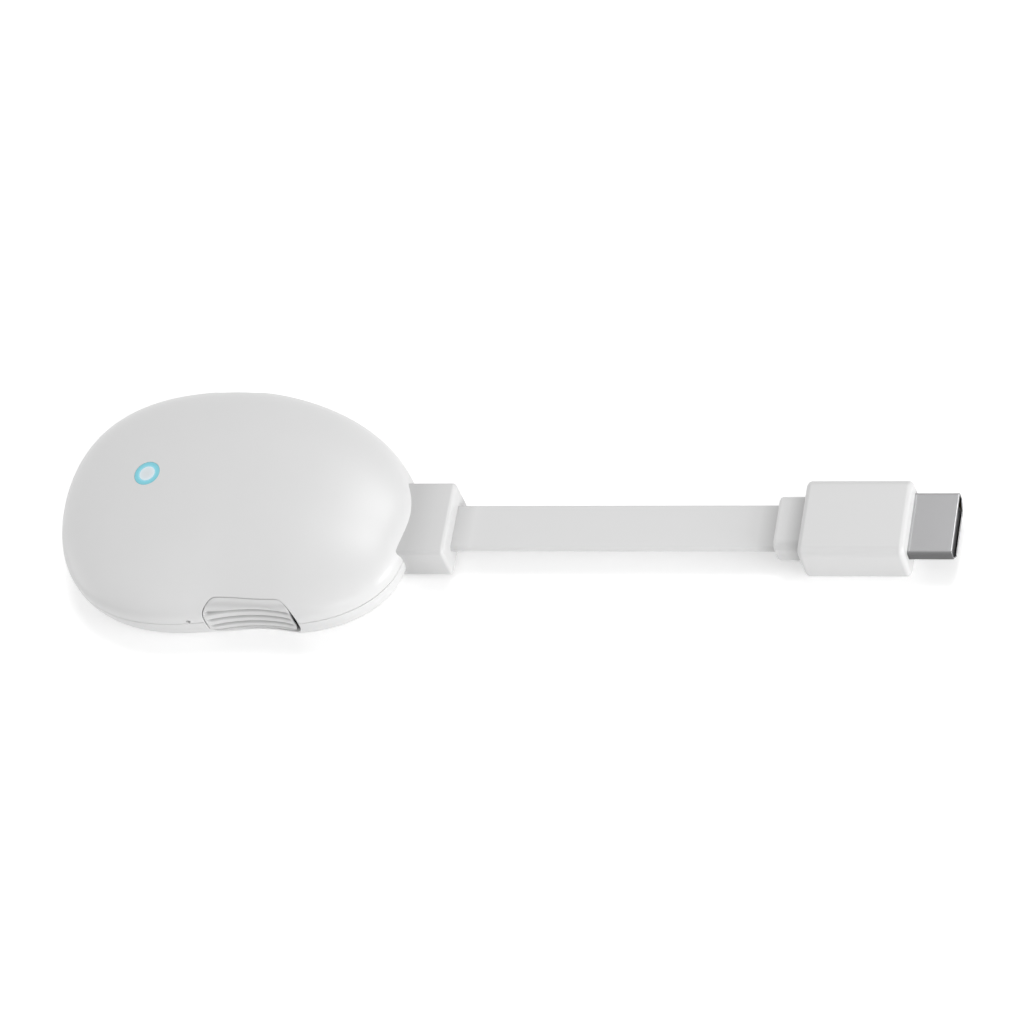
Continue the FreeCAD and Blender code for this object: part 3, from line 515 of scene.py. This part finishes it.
def dome_rings(inset, bottom, rings, segments=SEGMENTS):
    """From the bottom up to the crown."""
    loops = []
    rise = CASE_TOP - inset - SEAM_Z
    start = math.asin(((bottom - SEAM_Z) / rise) ** (DOME_RISE_POWER / 2))
    for step in range(rings + 1):
        angle = start + (math.pi / 2 - start) * (step / rings) ** CROWN_BIAS
        scale = max(math.cos(angle) ** (2 / DOME_PLAN_POWER), CROWN_SCALE)
        z = SEAM_Z + rise * math.sin(angle) ** (2 / DOME_RISE_POWER)
        loops.append(case_ring(inset, scale, z, segments))
    return loops


def upper_form():
    lip_top = SEAM_Z + SEAM_GAP + SEAM_LIP
    lip = [case_ring(SEAM_LIP * (1 - math.sin(angle)), 1, lip_top - SEAM_LIP * math.cos(angle))
           for angle in quarter(LIP_STEPS)[:-1]]
    return looped("upper_shell_piece", lip + dome_rings(0, lip_top, DOME_RINGS))


def lower_form():
    loops = [case_ring(SEAM_LIP * (1 - math.sin(angle)), 1,
                       SEAM_Z - SEAM_LIP * (1 - math.cos(angle))) for angle in quarter(LIP_STEPS)]
    top = SEAM_Z - SEAM_LIP
    for step in range(1, BASE_RINGS + 1):
        z = top + (BASE_LIP - top) * step / BASE_RINGS
        loops.append(case_ring(0, tuck(z), z))
    for step in range(1, BASE_LIP_RINGS + 1):
        share = step / BASE_LIP_RINGS
        z = BASE_LIP * (1 - share) ** 2
        side = (tuck(BASE_LIP) * (1 - share) ** 2 + tuck(0) * 2 * share * (1 - share)
                + tuck(0) * share ** 2)
        loops.append(case_ring(BASE_LIP * share ** 2, side, z))
    return looped("lower_shell_piece", loops)


def cavity():
    """The room inside the case."""
    loops = []
    for step in range(CAVITY_BASE_RINGS):
        z = WALL + (SEAM_Z - WALL) * step / CAVITY_BASE_RINGS
        loops.append(case_ring(WALL, tuck(z), z, CAVITY_SEGMENTS))
    loops += dome_rings(WALL, SEAM_Z, CAVITY_DOME_RINGS, CAVITY_SEGMENTS)
    space = looped("cavity", loops)
    carve(space, inlet_land())
    return space


def inlet_land():
    """The wall is thick and flat inside behind the inlet's recess."""
    left = INLET_MIDDLE.x - RECESS_WIDTH / 2 - WALL
    right = INLET_MIDDLE.x + RECESS_WIDTH / 2 + WALL
    inner = INLET_HIGH.y - WALL
    corners = ((left, inner), (right, inner), (right, FAR_OUT), (left, FAR_OUT))
    return looped("inlet_land", [[(x, y, z) for x, y in corners] for z in (-WALL, CASE_TOP + WALL)])


def tongue():
    """The lower shell's edge that stands inside the upper shell's."""
    low = SEAM_Z - TONGUE_HEIGHT
    high = SEAM_Z + TONGUE_HEIGHT
    outer = WALL / 2
    inner = WALL * 1.5
    loops = [case_ring(inset, 1, z)
             for inset, z in ((outer, low), (outer, high), (inner, high), (inner, low))]
    return looped("tongue", loops, closed=True)


def rabbet():
    """The room for the tongue in the upper shell's edge."""
    return looped("rabbet", [case_ring(WALL / 2 - TONGUE_GAP, 1, z)
                             for z in (SEAM_Z - WALL, SEAM_Z + TONGUE_HEIGHT + SEAM_GAP)])


def opening_loop(left, right, low, high, left_corner, right_corner, grow, steps=10, along=36, up=8):
    """A rounded rectangle in x and z, grown by grow, with points along its straight sides too."""
    corners = ((right + grow, low - grow, right_corner + grow, 1, -1),
               (right + grow, high + grow, right_corner + grow, 1, 1),
               (left - grow, high + grow, left_corner + grow, -1, 1),
               (left - grow, low - grow, left_corner + grow, -1, -1))
    places = []
    for side, (x, z, bend, x_sign, z_sign) in enumerate(corners):
        for step in range(steps + 1):
            angle = math.pi / 2 * (side - 1 + step / steps)
            places.append((x - x_sign * bend + bend * math.cos(angle),
                           z - z_sign * bend + bend * math.sin(angle)))
        x_next, z_next, bend_next, x_sign, z_sign = corners[(side + 1) % 4]
        goal = ((x_next, z_next - z_sign * bend_next) if side in (0, 2)
                else (x_next - x_sign * bend_next, z_next))
        start = places[-1]
        count = up if side in (0, 2) else along
        for step in range(1, count):
            share = step / count
            places.append((start[0] + (goal[0] - start[0]) * share,
                           start[1] + (goal[1] - start[1]) * share))
    return places


def flared_hole(name, extents, lip, side, depth, outside=0.03 * MM):
    """A cutter for a hole in the case's side, with a rounded lip where it meets the surface."""
    far = CASE_Y + side * FAR_OUT
    wide = opening_loop(*extents, lip)
    surface = side_y(*np.array(wide).T, side)
    loops = [[(x, far, z) for x, z in wide],
             [(x, y + side * outside, z) for (x, z), y in zip(wide, surface)]]
    for angle in quarter(LIP_STEPS)[1:]:
        ring = opening_loop(*extents, lip * (1 - math.sin(angle)))
        sink = side * lip * (1 - math.cos(angle))
        loops.append([(x, y - sink, z) for (x, z), y in zip(ring, side_y(*np.array(ring).T, side))])
    loops.append([(x, depth, z) for x, z in opening_loop(*extents, 0)])
    return looped(name, loops)


def hole(name, start, end, radius, segments=32):
    """A round cutter between two points."""
    way = (end - start).normalized()
    across = way.orthogonal().normalized()
    up = way.cross(across)
    angles = [2 * math.pi * step / segments for step in range(segments)]
    return looped(name, [[centre + (across * math.cos(angle) + up * math.sin(angle)) * radius
                          for angle in angles] for centre in (start, end)])


def button_hole():
    """Close round the button, and wider past its end towards the plug."""
    left = BUTTON_X - BUTTON_HALF - BUTTON_GAP
    right = BUTTON_X + BUTTON_HALF + WINDOW_END_GAP
    extents = (left, right, BUTTON_LOW.z - BUTTON_GAP, BUTTON_HIGH.z + BUTTON_GAP,
               BUTTON_CORNER + BUTTON_GAP, WINDOW_END_CORNER)
    return flared_hole("window", extents, WINDOW_LIP, -1, WINDOW_BACK)


def hollow_y(across, z):
    """The finger hollow's two surfaces: the upright one, and the tilted one below UNDERCUT_Z."""
    bow = SCOOP_RADIUS - np.sqrt(SCOOP_RADIUS ** 2 - across ** 2)
    front = CASE_FRONT + SCOOP_DEPTH
    return (front - bow, front + (UNDERCUT_Z - z) * math.tan(UNDERCUT_ANGLE)
            - bow / math.cos(UNDERCUT_ANGLE))


def undercut():
    """What the finger hollow takes from the strip under the button."""
    across = np.linspace(-UNDERCUT_HALF, UNDERCUT_HALF, UNDERCUT_POINTS)
    loops = []
    for z in (-WALL, UNDERCUT_Z):
        loop = [(BUTTON_X + x, y, z) for x, y in zip(across, hollow_y(across, z)[1])]
        loops.append(loop + [(loop[-1][0], -FAR_OUT, z), (loop[0][0], -FAR_OUT, z)])
    return looped("undercut", loops)


def inlet_recess():
    extents = (INLET_MIDDLE.x - RECESS_WIDTH / 2, INLET_MIDDLE.x + RECESS_WIDTH / 2,
               INLET_MIDDLE.z - RECESS_HEIGHT / 2, INLET_MIDDLE.z + RECESS_HEIGHT / 2,
               RECESS_CORNER, RECESS_CORNER)
    return flared_hole("recess", extents, RECESS_LIP, 1, INLET_HIGH.y)


def inlet_mouth():
    mouth = opening_loop(INLET_LOW.x, INLET_HIGH.x, INLET_LOW.z, INLET_HIGH.z, INLET_CORNER,
                         INLET_CORNER, INLET_GAP, along=2, up=2)
    return looped("mouth", [[(x, y, z) for x, z in mouth]
                            for y in (INLET_HIGH.y - 3 * WALL, INLET_HIGH.y + 6 * WALL)])


def pinhole():
    front = float(side_y(PINHOLE_X, PINHOLE_Z, -1))
    return hole("pinhole", Vector((PINHOLE_X, front - WALL, PINHOLE_Z)),
                Vector((PINHOLE_X, front + 2 * WALL, PINHOLE_Z)), PINHOLE_RADIUS)


def ring_hole():
    return hole("ring_hole", Vector((RING_X, RING_Y, CASE_TOP + WALL)),
                Vector((RING_X, RING_Y, CASE_TOP - 4 * WALL)), RING_OUTER + RING_CLEARANCE,
                RING_SEGMENTS)


def case_shells():
    upper = upper_form()
    for cutter in (cavity, rabbet, button_hole, inlet_recess, inlet_mouth, pinhole, ring_hole):
        carve(upper, cutter())
    shade(upper, form_normals)
    dress(upper, "case", "case_white", "upper_shell")
    lower = lower_form()
    carve(lower, tongue(), "UNION")
    for cutter in (cavity, button_hole, undercut, inlet_recess, inlet_mouth):
        carve(lower, cutter())
    shade(lower, form_normals)
    dress(lower, "case", "case_white", "lower_shell")


# Side button

def farther(first, second):
    """The larger of the two, with a rounded change between them."""
    return (first + second + np.sqrt((first - second) ** 2 + SCOOP_BLEND ** 2)) / 2


def smooth(share):
    """From 0 to 1 without a kink at either end."""
    share = np.clip(share, 0, 1)
    return share * share * (3 - 2 * share)


def fall(past, radius):
    """How far a rounded edge has fallen back, past its start."""
    past = np.clip(past, 0, radius)
    return radius - np.sqrt(np.maximum(radius ** 2 - past ** 2, 0))


def button_face(x, z, edge):
    """The front's y and the grooves' depth, where edge is the way to the nearer long edge."""
    straight, tilted = hollow_y(x - HOLLOW_SHIFT, z)
    face = farther(farther(side_y(x + BUTTON_X, z, -1), straight), tilted)
    sunk = np.zeros(x.shape)
    for level, depth in GROOVES:
        sunk += depth * smooth(1 - np.abs(z - level) / (GROOVE_WIDTH / 2))
    sunk *= smooth((BUTTON_HALF - np.abs(x)) / GROOVE_END)
    tip = fall(np.abs(x) - (BUTTON_HALF - BUTTON_TIP), BUTTON_TIP)
    return face + tip + sunk + fall(BUTTON_LIP - edge, BUTTON_LIP), sunk


def button_piece():
    """A grid over the front, and bands that run back from its rim."""
    across = BUTTON_HALF * np.array([-math.cos(math.pi * step / BUTTON_COLUMNS)
                                     for step in range(BUTTON_COLUMNS + 1)])
    share = np.array([(1 - math.cos(math.pi * step / BUTTON_ROWS)) / 2
                      for step in range(BUTTON_ROWS + 1)])
    shrink = fall(np.abs(across) - (BUTTON_HALF - BUTTON_CORNER), BUTTON_CORNER)
    low = (BUTTON_LOW.z + shrink)[:, None]
    high = (BUTTON_HIGH.z - shrink)[:, None]
    tall = BUTTON_ROWS + 1
    x = np.repeat(across[:, None], tall, axis=1)
    z = low + (high - low) * share[None, :]
    face, sunk = button_face(x, z, np.minimum(z - low, high - z))
    x = x - BUTTON_TRIM * (smooth((x - BUTTON_HALF) / BUTTON_CORNER + 1)
                           * smooth((BUTTON_TRIM_TOP - z) / (BUTTON_CORNER / 2)))
    points = [(BUTTON_X + px, py, pz) for px, py, pz in zip(x.ravel(), face.ravel(), z.ravel())]
    faces = []
    for column in range(BUTTON_COLUMNS):
        for row in range(BUTTON_ROWS):
            corner = column * tall + row
            faces.append((corner, corner + tall, corner + tall + 1, corner + 1))
    rim = [column * tall for column in range(BUTTON_COLUMNS + 1)]
    rim += [BUTTON_COLUMNS * tall + row for row in range(1, tall)]
    rim += [column * tall + BUTTON_ROWS for column in range(BUTTON_COLUMNS - 1, -1, -1)]
    rim += list(range(BUTTON_ROWS - 1, 0, -1))
    edge = [points[corner] for corner in rim]
    points += [(px, py + BUTTON_SKIN, pz) for px, py, pz in edge]
    for at_back in (False, True):
        for px, py, pz in edge:
            share = np.clip((px - BUTTON_X - BUTTON_HALF + BUTTON_CORNER) / BUTTON_CORNER, 0, 1)
            ledge = py + BUTTON_SKIN + BUTTON_SETBACK_DEPTH * share
            points.append((px - BUTTON_SETBACK * share, BUTTON_HIGH.y if at_back else ledge, pz))
    count = len(rim)
    bands = [rim] + [range(first, first + count)
                     for first in range(len(points) - 3 * count, len(points), count)]
    for near_band, far_band in zip(bands, bands[1:]):
        for index in range(count):
            after = (index + 1) % count
            faces.append((near_band[index], near_band[after], far_band[after], far_band[index]))
    faces.append(tuple(bands[-1]))
    button = new_piece("side_button_piece", points, faces)
    # The grooves' depth, which the button's material reads to paint shade in them
    depths = button.data.attributes.new("groove", "FLOAT", "POINT")
    for place, depth in zip(depths.data, sunk.ravel() / GROOVES[0][1]):
        place.value = depth
    shade(button, sharp=BUTTON_SHARP)
    dress(button, "button", "button_white", "side_button")


# Light ring

def on_dome(radius, level):
    """A loop round the ring's axis that follows the dome, level above it."""
    loop = []
    for step in range(RING_SEGMENTS):
        angle = 2 * math.pi * step / RING_SEGMENTS
        x = RING_X + radius * math.cos(angle)
        y = RING_Y + radius * math.sin(angle)
        loop.append((x, y, dome_z(x, y) + level))
    return loop


def ring_pieces():
    """The ring and the cap inside it, with rounded upper edges."""
    rounding = [(RING_ROUND * (1 - math.cos(angle)), -RING_ROUND * (1 - math.sin(angle)))
                for angle in quarter(RING_ROUND_STEPS)]
    profile = [(RING_INNER, -RING_DEPTH)]
    profile += [(RING_INNER + back, level) for back, level in rounding]
    profile += [(RING_OUTER - back, level) for back, level in reversed(rounding)]
    profile.append((RING_OUTER, -RING_DEPTH))
    ring = looped("light_ring_piece", [on_dome(*place) for place in profile], closed=True)
    shade(ring)
    dress(ring, "case", "light_guide", "light_ring")
    rim = RING_INNER - RING_CLEARANCE
    profile = [(rim * CAP_BOTTOM_MIDDLE, -RING_DEPTH), (rim, -RING_DEPTH)]
    profile += [(rim - back, level) for back, level in rounding]
    for step in range(CAP_RINGS - 1, -1, -1):
        profile.append(((rim - RING_ROUND) * (step + CAP_MIDDLE) / (CAP_RINGS + CAP_MIDDLE), 0))
    cap = looped("ring_cap_piece", [on_dome(*place) for place in profile])
    shade(cap)
    dress(cap, "case", "ring_cap_white", "ring_cap")


# Cable, block and plug

def cable_piece():
    """The cable as a straight curve with a flat section, and its route."""
    middle = Vector((0, (CABLE_LOW.y + CABLE_HIGH.y) / 2, (CABLE_LOW.z + CABLE_HIGH.z) / 2))
    route = [middle + Vector((CABLE_LOW.x, 0, 0)), middle + Vector((CABLE_HIGH.x, 0, 0))]
    half = (CABLE_HIGH.y - CABLE_LOW.y) / 2
    thick = (CABLE_HIGH.z - CABLE_LOW.z) / 2
    outline = bpy.data.curves.new("cable_section", "CURVE")
    ring = outline.splines.new("POLY")
    corners = [(-half, -thick), (half, -thick), (half, thick), (-half, thick)]
    places = section(corners, thick * CABLE_EDGE, steps=CABLE_EDGE_STEPS)
    ring.points.add(len(places) - 1)
    for point, place in zip(ring.points, places):
        point.co = (place.x / thick, place.y / thick, 0, 1)
    ring.use_cyclic_u = True
    outline_object = bpy.data.objects.new("cable_section", outline)
    outline_object.hide_render = True
    bpy.context.scene.collection.objects.link(outline_object)
    data = bpy.data.curves.new("flat_cable_piece", "CURVE")
    data.dimensions = "3D"
    data.bevel_mode = "OBJECT"
    data.bevel_object = outline_object
    line = data.splines.new("NURBS")
    line.points.add(len(route) - 1)
    for point, place in zip(line.points, route):
        point.co = (*place, 1)
        point.radius = thick
    line.order_u = 3
    line.use_endpoint_u = True
    line.use_smooth = True
    cable = bpy.data.objects.new("flat_cable_piece", data)
    bpy.context.scene.collection.objects.link(cable)
    dress(cable, "case", "cable_white", "flat_cable")
    return cable, route


def plug_shell_piece():
    """A tube of D shape with a rounded mouth edge."""
    knee = SHELL_HIGH.z - PLUG_SIDE
    corners = [(SHELL_LOW.y + PLUG_TAPER, SHELL_LOW.z), (SHELL_HIGH.y - PLUG_TAPER, SHELL_LOW.z),
               (SHELL_HIGH.y, knee), (SHELL_HIGH.y, SHELL_HIGH.z), (SHELL_LOW.y, SHELL_HIGH.z),
               (SHELL_LOW.y, knee)]
    half_sheet = PLUG_SHEET / 2
    loops = [upright(section(corners, PLUG_CORNER), SHELL_LOW.x)]
    for step in range(PLUG_EDGE_STEPS + 1):
        angle = math.pi * step / PLUG_EDGE_STEPS
        inset = half_sheet * (1 - math.cos(angle))
        x = SHELL_HIGH.x - half_sheet + half_sheet * math.sin(angle)
        loops.append(upright(section(corners, PLUG_CORNER, inset), x))
    loops.append(upright(section(corners, PLUG_CORNER, PLUG_SHEET), SHELL_LOW.x))
    shell = looped("plug_shell_piece", loops, closed=True)
    shade(shell)
    return dress(shell, "case", "plug_steel", "plug_shell")


def plug_pieces():
    """The block at the case, and the pieces at the cable's other end, which it gives back."""
    block_start = Vector((CASE_RIGHT - BLOCK_EMBEDDED, BLOCK_LOW.y, BLOCK_LOW.z))
    block = bar("cable_block_piece", block_start, BLOCK_HIGH, BLOCK_ROUND, 0, BLOCK_END_ROUND)
    shade(block)
    dress(block, "case", "grip_white", "cable_block")
    collar = bar("plug_collar_piece", COLLAR_LOW, COLLAR_HIGH, COLLAR_ROUND, COLLAR_END_ROUND, 0)
    shade(collar)
    dress(collar, "case", "cable_white", "plug_collar")
    grip = bar("plug_grip_piece", GRIP_LOW, GRIP_HIGH, GRIP_ROUND, GRIP_END_ROUND, GRIP_END_ROUND)
    shade(grip)
    dress(grip, "case", "grip_white", "plug_grip")
    return [collar, grip, plug_shell_piece()]


# Material nodes

def node(tree, kind, **inputs):
    made = tree.nodes.new(kind)
    for name, value in inputs.items():
        made.inputs[name.replace("_", " ")].default_value = value
    return made


def feed(tree, source, socket):
    """Links a socket to a source, or sets it where the source is a value."""
    if isinstance(source, bpy.types.NodeSocket):
        tree.links.new(source, socket)
    else:
        socket.default_value = source


def counted(tree, operation, *sources):
    made = tree.nodes.new("ShaderNodeMath")
    made.operation = operation
    for source, socket in zip(sources, made.inputs):
        feed(tree, source, socket)
    return made.outputs["Value"]


def vector_node(tree, operation, *sources):
    made = tree.nodes.new("ShaderNodeVectorMath")
    made.operation = operation
    for source, socket in zip(sources, made.inputs):
        feed(tree, source, socket)
    return made


def mixed(tree, factor, first, second, blend="MIX"):
    mix = tree.nodes.new("ShaderNodeMix")
    mix.data_type = "RGBA"
    mix.blend_type = blend
    feed(tree, factor, mix.inputs["Factor"])
    feed(tree, first, mix.inputs["A"])
    feed(tree, second, mix.inputs["B"])
    return mix.outputs["Result"]


def coordinate(tree, kind):
    return tree.nodes.new("ShaderNodeTexCoord").outputs[kind]


def axis_of(tree, vector, axis):
    apart = tree.nodes.new("ShaderNodeSeparateXYZ")
    tree.links.new(vector, apart.inputs["Vector"])
    return apart.outputs[axis]


def ramp_of(tree, source, first, last, stops):
    """The stops' colours, over a source that runs from first to last."""
    scaled = node(tree, "ShaderNodeMapRange", From_Min=first, From_Max=last)
    tree.links.new(source, scaled.inputs["Value"])
    ramp = tree.nodes.new("ShaderNodeValToRGB")
    elements = ramp.color_ramp.elements
    for place, _ in stops[1:-1]:
        elements.new(place)
    elements[0].position = stops[0][0]
    elements[-1].position = stops[-1][0]
    for element, (_, colour) in zip(elements, stops):
        element.color = (*colour, 1)
    tree.links.new(scaled.outputs["Result"], ramp.inputs["Fac"])
    return ramp.outputs["Color"]


def seen_directly(tree):
    """1 for rays from the camera and from reflections and glass, 0 for others."""
    path = tree.nodes.new("ShaderNodeLightPath").outputs
    seen = counted(tree, "MAXIMUM", path["Is Camera Ray"], path["Is Glossy Ray"])
    return counted(tree, "MAXIMUM", seen, path["Is Transmission Ray"])


# Materials

def grey(tone):
    return (tone, tone, tone)


def base_material(name, roughness, metallic=0.0):
    material = bpy.data.materials.new(name)
    material.use_nodes = True
    shader = material.node_tree.nodes["Principled BSDF"]
    shader.inputs["Roughness"].default_value = roughness
    shader.inputs["Metallic"].default_value = metallic
    return material, material.node_tree, shader


def grain(tree, shader, place, size, depth, strength):
    """Fine relief of the surface."""
    noise = node(tree, "ShaderNodeTexNoise", Scale=1 / size, Detail=GRAIN_DETAIL,
                 Roughness=GRAIN_ROUGHNESS)
    tree.links.new(place, noise.inputs["Vector"])
    bump = node(tree, "ShaderNodeBump", Strength=strength, Distance=depth)
    tree.links.new(noise.outputs["Fac"], bump.inputs["Height"])
    tree.links.new(bump.outputs["Normal"], shader.inputs["Normal"])
    return noise.outputs["Fac"]


def vary(tree, shader, source, colour, change, low, high):
    """The colour a little darker and lighter with the source, and the gloss from low to high."""
    dark = [channel * (1 - change) for channel in colour]
    light = [min(1.0, channel * (1 + change)) for channel in colour]
    tree.links.new(mixed(tree, source, (*dark, 1), (*light, 1)), shader.inputs["Base Color"])
    spread = node(tree, "ShaderNodeMapRange", From_Min=NOISE_LOW, From_Max=NOISE_HIGH, To_Min=low,
                  To_Max=high)
    tree.links.new(source, spread.inputs["Value"])
    tree.links.new(spread.outputs["Result"], shader.inputs["Roughness"])


def moulded(name, colour, roughness, size=0.12 * MM, depth=0.004 * MM, strength=0.35, cloud=0.012):
    """Moulded plastic: a fine spark-eroded grain and slow clouds of colour and gloss."""
    material, tree, shader = base_material(name, roughness)
    place = coordinate(tree, "Object")
    grain(tree, shader, place, size, depth, strength)
    clouds = node(tree, "ShaderNodeTexNoise", Scale=1 / CLOUD_SIZE, Detail=CLOUD_DETAIL,
                  Roughness=CLOUD_ROUGHNESS)
    tree.links.new(place, clouds.inputs["Vector"])
    vary(tree, shader, clouds.outputs["Fac"], colour, cloud, roughness - CLOUD_GLOSS,
         roughness + CLOUD_GLOSS)
    return material


def metal(name, colour, roughness):
    """Metal with a fine drawn or rolled grain along X."""
    material, tree, shader = base_material(name, roughness, 1.0)
    mapping = node(tree, "ShaderNodeMapping", Scale=METAL_GRAIN_STRETCH)
    tree.links.new(coordinate(tree, "Object"), mapping.inputs["Vector"])
    streaks = grain(tree, shader, mapping.outputs["Vector"], METAL_GRAIN, METAL_GRAIN_DEPTH,
                    METAL_GRAIN_STRENGTH)
    vary(tree, shader, streaks, colour, METAL_TONE, roughness * (1 - METAL_GLOSS),
         roughness * (1 + METAL_GLOSS))
    return material


def multiplied(material, factor, colour):
    """The material with its colour multiplied by another, as far as factor says."""
    tree = material.node_tree
    base = tree.nodes["Principled BSDF"].inputs["Base Color"]
    tree.links.new(mixed(tree, factor, base.links[0].from_socket, colour, "MULTIPLY"), base)
    return material


def shaded_along_x(material, tones):
    """Painted shade: the material's colour darkened a little along X, where pieces meet."""
    tree = material.node_tree
    first = tones[0][0]
    last = tones[-1][0]
    stops = [((place - first) / (last - first), grey(tone)) for place, tone in tones]
    return multiplied(material, 1.0, ramp_of(tree, axis_of(tree, coordinate(tree, "Object"), "X"),
                                             first, last, stops))


def shaded_in_grooves(material, tone):
    """Moulded plastic with painted shade: a little darker where its grooves are deep."""
    depth = material.node_tree.nodes.new("ShaderNodeAttribute")
    depth.attribute_name = "groove"
    return multiplied(material, depth.outputs["Fac"], (*grey(tone), 1))


def sides_painted_darker(material, tone):
    """Painted reflection on the plating: darker on upright faces than on level ones, in place of
    the darker surroundings they would reflect.
    """
    tree = material.node_tree
    upright_shade_share = counted(tree, "ABSOLUTE", axis_of(tree, coordinate(tree, "Normal"), "Y"))
    return multiplied(material, upright_shade_share, (*grey(tone), 1))


def lit(material, reach, stops, strength):
    """The material with light round the light ring's axis, out to a reach."""
    tree = material.node_tree
    shader = tree.nodes["Principled BSDF"]
    off_axis = vector_node(tree, "SUBTRACT", coordinate(tree, "Object"), (RING_X, RING_Y, 0))
    level = vector_node(tree, "MULTIPLY", off_axis.outputs["Vector"], (1, 1, 0))
    distance = vector_node(tree, "LENGTH", level.outputs["Vector"]).outputs["Value"]
    tree.links.new(ramp_of(tree, distance, 0.0, reach, stops), shader.inputs["Emission Color"])
    shader.inputs["Emission Strength"].default_value = strength
    return material


def make_materials():
    """One for each of the record's material slots: colour, roughness and what is its own."""
    return {
        "case_white": moulded("case_white", grey(0.75), 0.33),
        # Painted shade in the button's grooves, darker with their depth
        "button_white": shaded_in_grooves(moulded("button_white", grey(0.715), 0.42), 0.52),
        "light_guide": lit(moulded("light_guide", (0.20, 0.50, 0.58), 0.3, cloud=0.03),
                           RING_REACH, RING_GLOW, RING_EMISSION),
        # The cap's glow is painted light from the ring
        "ring_cap_white": lit(moulded("ring_cap_white", (0.74, 0.77, 0.79), 0.4),
                              RING_OUTER, CAP_PAINTED_GLOW, CAP_PAINTED_GLOW_STRENGTH),
        # Painted shade on the cable and collar, darker at their ends along X
        "cable_white": shaded_along_x(moulded("cable_white", grey(0.74), 0.50, size=0.3 * MM,
                                           depth=0.01 * MM), CABLE_SHADE_TONES),
        # Painted shade on the cable block next to the case; the grip lies past the ramp and keeps
        # its colour
        "grip_white": shaded_along_x(moulded("grip_white", grey(0.70), 0.38), BLOCK_SHADE_TONES),
        # The plug shell's upright sides are painted darker, as a painted reflection
        "plug_steel": sides_painted_darker(metal("plug_steel", (0.385, 0.385, 0.39), 0.12), 0.36),
        "contact_gold": metal("contact_gold", (0.80, 0.62, 0.30), 0.25),
        "insulator_black": moulded("insulator_black", (0.02, 0.02, 0.022), 0.45, cloud=0.1),
        "switch_black": moulded("switch_black", grey(0.03), 0.45, cloud=0.1),
        "board_green": moulded("board_green", (0.04, 0.16, 0.09), 0.35, size=0.5 * MM, cloud=0.1),
        "chip_black": moulded("chip_black", (0.035, 0.035, 0.04), 0.55, cloud=0.1),
        "part_tan": moulded("part_tan", (0.45, 0.33, 0.22), 0.5, cloud=0.05),
        "led_white": moulded("led_white", (0.85, 0.85, 0.75), 0.25),
        "sheet_tin": metal("sheet_tin", grey(0.68), 0.30),
        "screw_steel": metal("screw_steel", (0.52, 0.52, 0.53), 0.35),
        "spreader_aluminium": metal("spreader_aluminium", (0.76, 0.76, 0.77), 0.38),
        "pad_grey": moulded("pad_grey", (0.36, 0.38, 0.42), 0.8, size=0.4 * MM, cloud=0.06),
        "copper": metal("copper", (0.75, 0.42, 0.26), 0.35),
    }


def dress_inner_pieces():
    """The solids that still show take their slots' materials."""
    slots = {part["node"]: part["material_slot"] for part in frame["record"]["subparts"]}
    for name, piece in frame["nodes"].items():
        if piece.hide_render:
            continue
        piece.data.materials.clear()
        piece.data.materials.append(MATERIALS[slots[name]])


# Floor, world and lights

def floor():
    corners = [(x * FLOOR_HALF, y * FLOOR_HALF, 0) for x, y in ((-1, -1), (1, -1), (1, 1), (-1, 1))]
    plane = new_piece("floor", corners, [(0, 1, 2, 3)])
    material, tree, shader = base_material("floor_white", FLOOR_ROUGHNESS)
    shader.inputs["Base Color"].default_value = (*grey(FLOOR_TONE), 1)
    shader.inputs["Specular IOR Level"].default_value = FLOOR_SPECULAR
    shader.inputs["Emission Color"].default_value = (1, 1, 1, 1)
    feed(tree, counted(tree, "MULTIPLY", seen_directly(tree), FLOOR_GLOW),
         shader.inputs["Emission Strength"])
    plane.data.materials.append(material)


def world():
    """An even light, and white where the camera, a reflection or glass sees it."""
    made = bpy.data.worlds.new("studio")
    made.use_nodes = True
    bpy.context.scene.world = made
    tree = made.node_tree
    ambient = tree.nodes["Background"]
    ambient.inputs["Color"].default_value = (1, 1, 1, 1)
    ambient.inputs["Strength"].default_value = AMBIENT
    shown = node(tree, "ShaderNodeBackground", Color=(1, 1, 1, 1), Strength=1.0)
    mix = tree.nodes.new("ShaderNodeMixShader")
    tree.links.new(seen_directly(tree), mix.inputs["Fac"])
    tree.links.new(ambient.outputs["Background"], mix.inputs[1])
    tree.links.new(shown.outputs["Background"], mix.inputs[2])
    tree.links.new(mix.outputs["Shader"], tree.nodes["World Output"].inputs["Surface"])


def lamp(name, azimuth, elevation, distance, size, watts):
    """A soft square light in a direction counted from +X towards +Y."""
    data = bpy.data.lights.new(name, "AREA")
    data.size = size
    data.energy = watts
    light = bpy.data.objects.new(name, data)
    turn = math.radians(azimuth)
    rise = math.radians(elevation)
    way = Vector((math.cos(turn) * math.cos(rise), math.sin(turn) * math.cos(rise), math.sin(rise)))
    light.location = LIGHT_AIM + way * distance
    light.rotation_mode = "QUATERNION"
    light.rotation_quaternion = (-way).to_track_quat("-Z", "Y")
    bpy.context.scene.collection.objects.link(light)


def studio():
    world()
    lamp("key_light", azimuth=82, elevation=60, distance=2.5, size=0.95, watts=18.2)
    lamp("right_light", azimuth=-14, elevation=11, distance=0.8, size=0.30, watts=3.0)
    lamp("front_light", azimuth=-66, elevation=10, distance=0.9, size=0.45, watts=1.5)
    lamp("left_fill", azimuth=184, elevation=8, distance=1.0, size=0.6, watts=1.3)


camera()
MATERIALS = make_materials()
flat_cable, cable_route = cable_piece()
on_cable = plug_pieces()
case_shells()
button_piece()
ring_pieces()
dress_inner_pieces()
floor()
studio()

bpy.context.scene.view_settings.view_transform = "Standard"
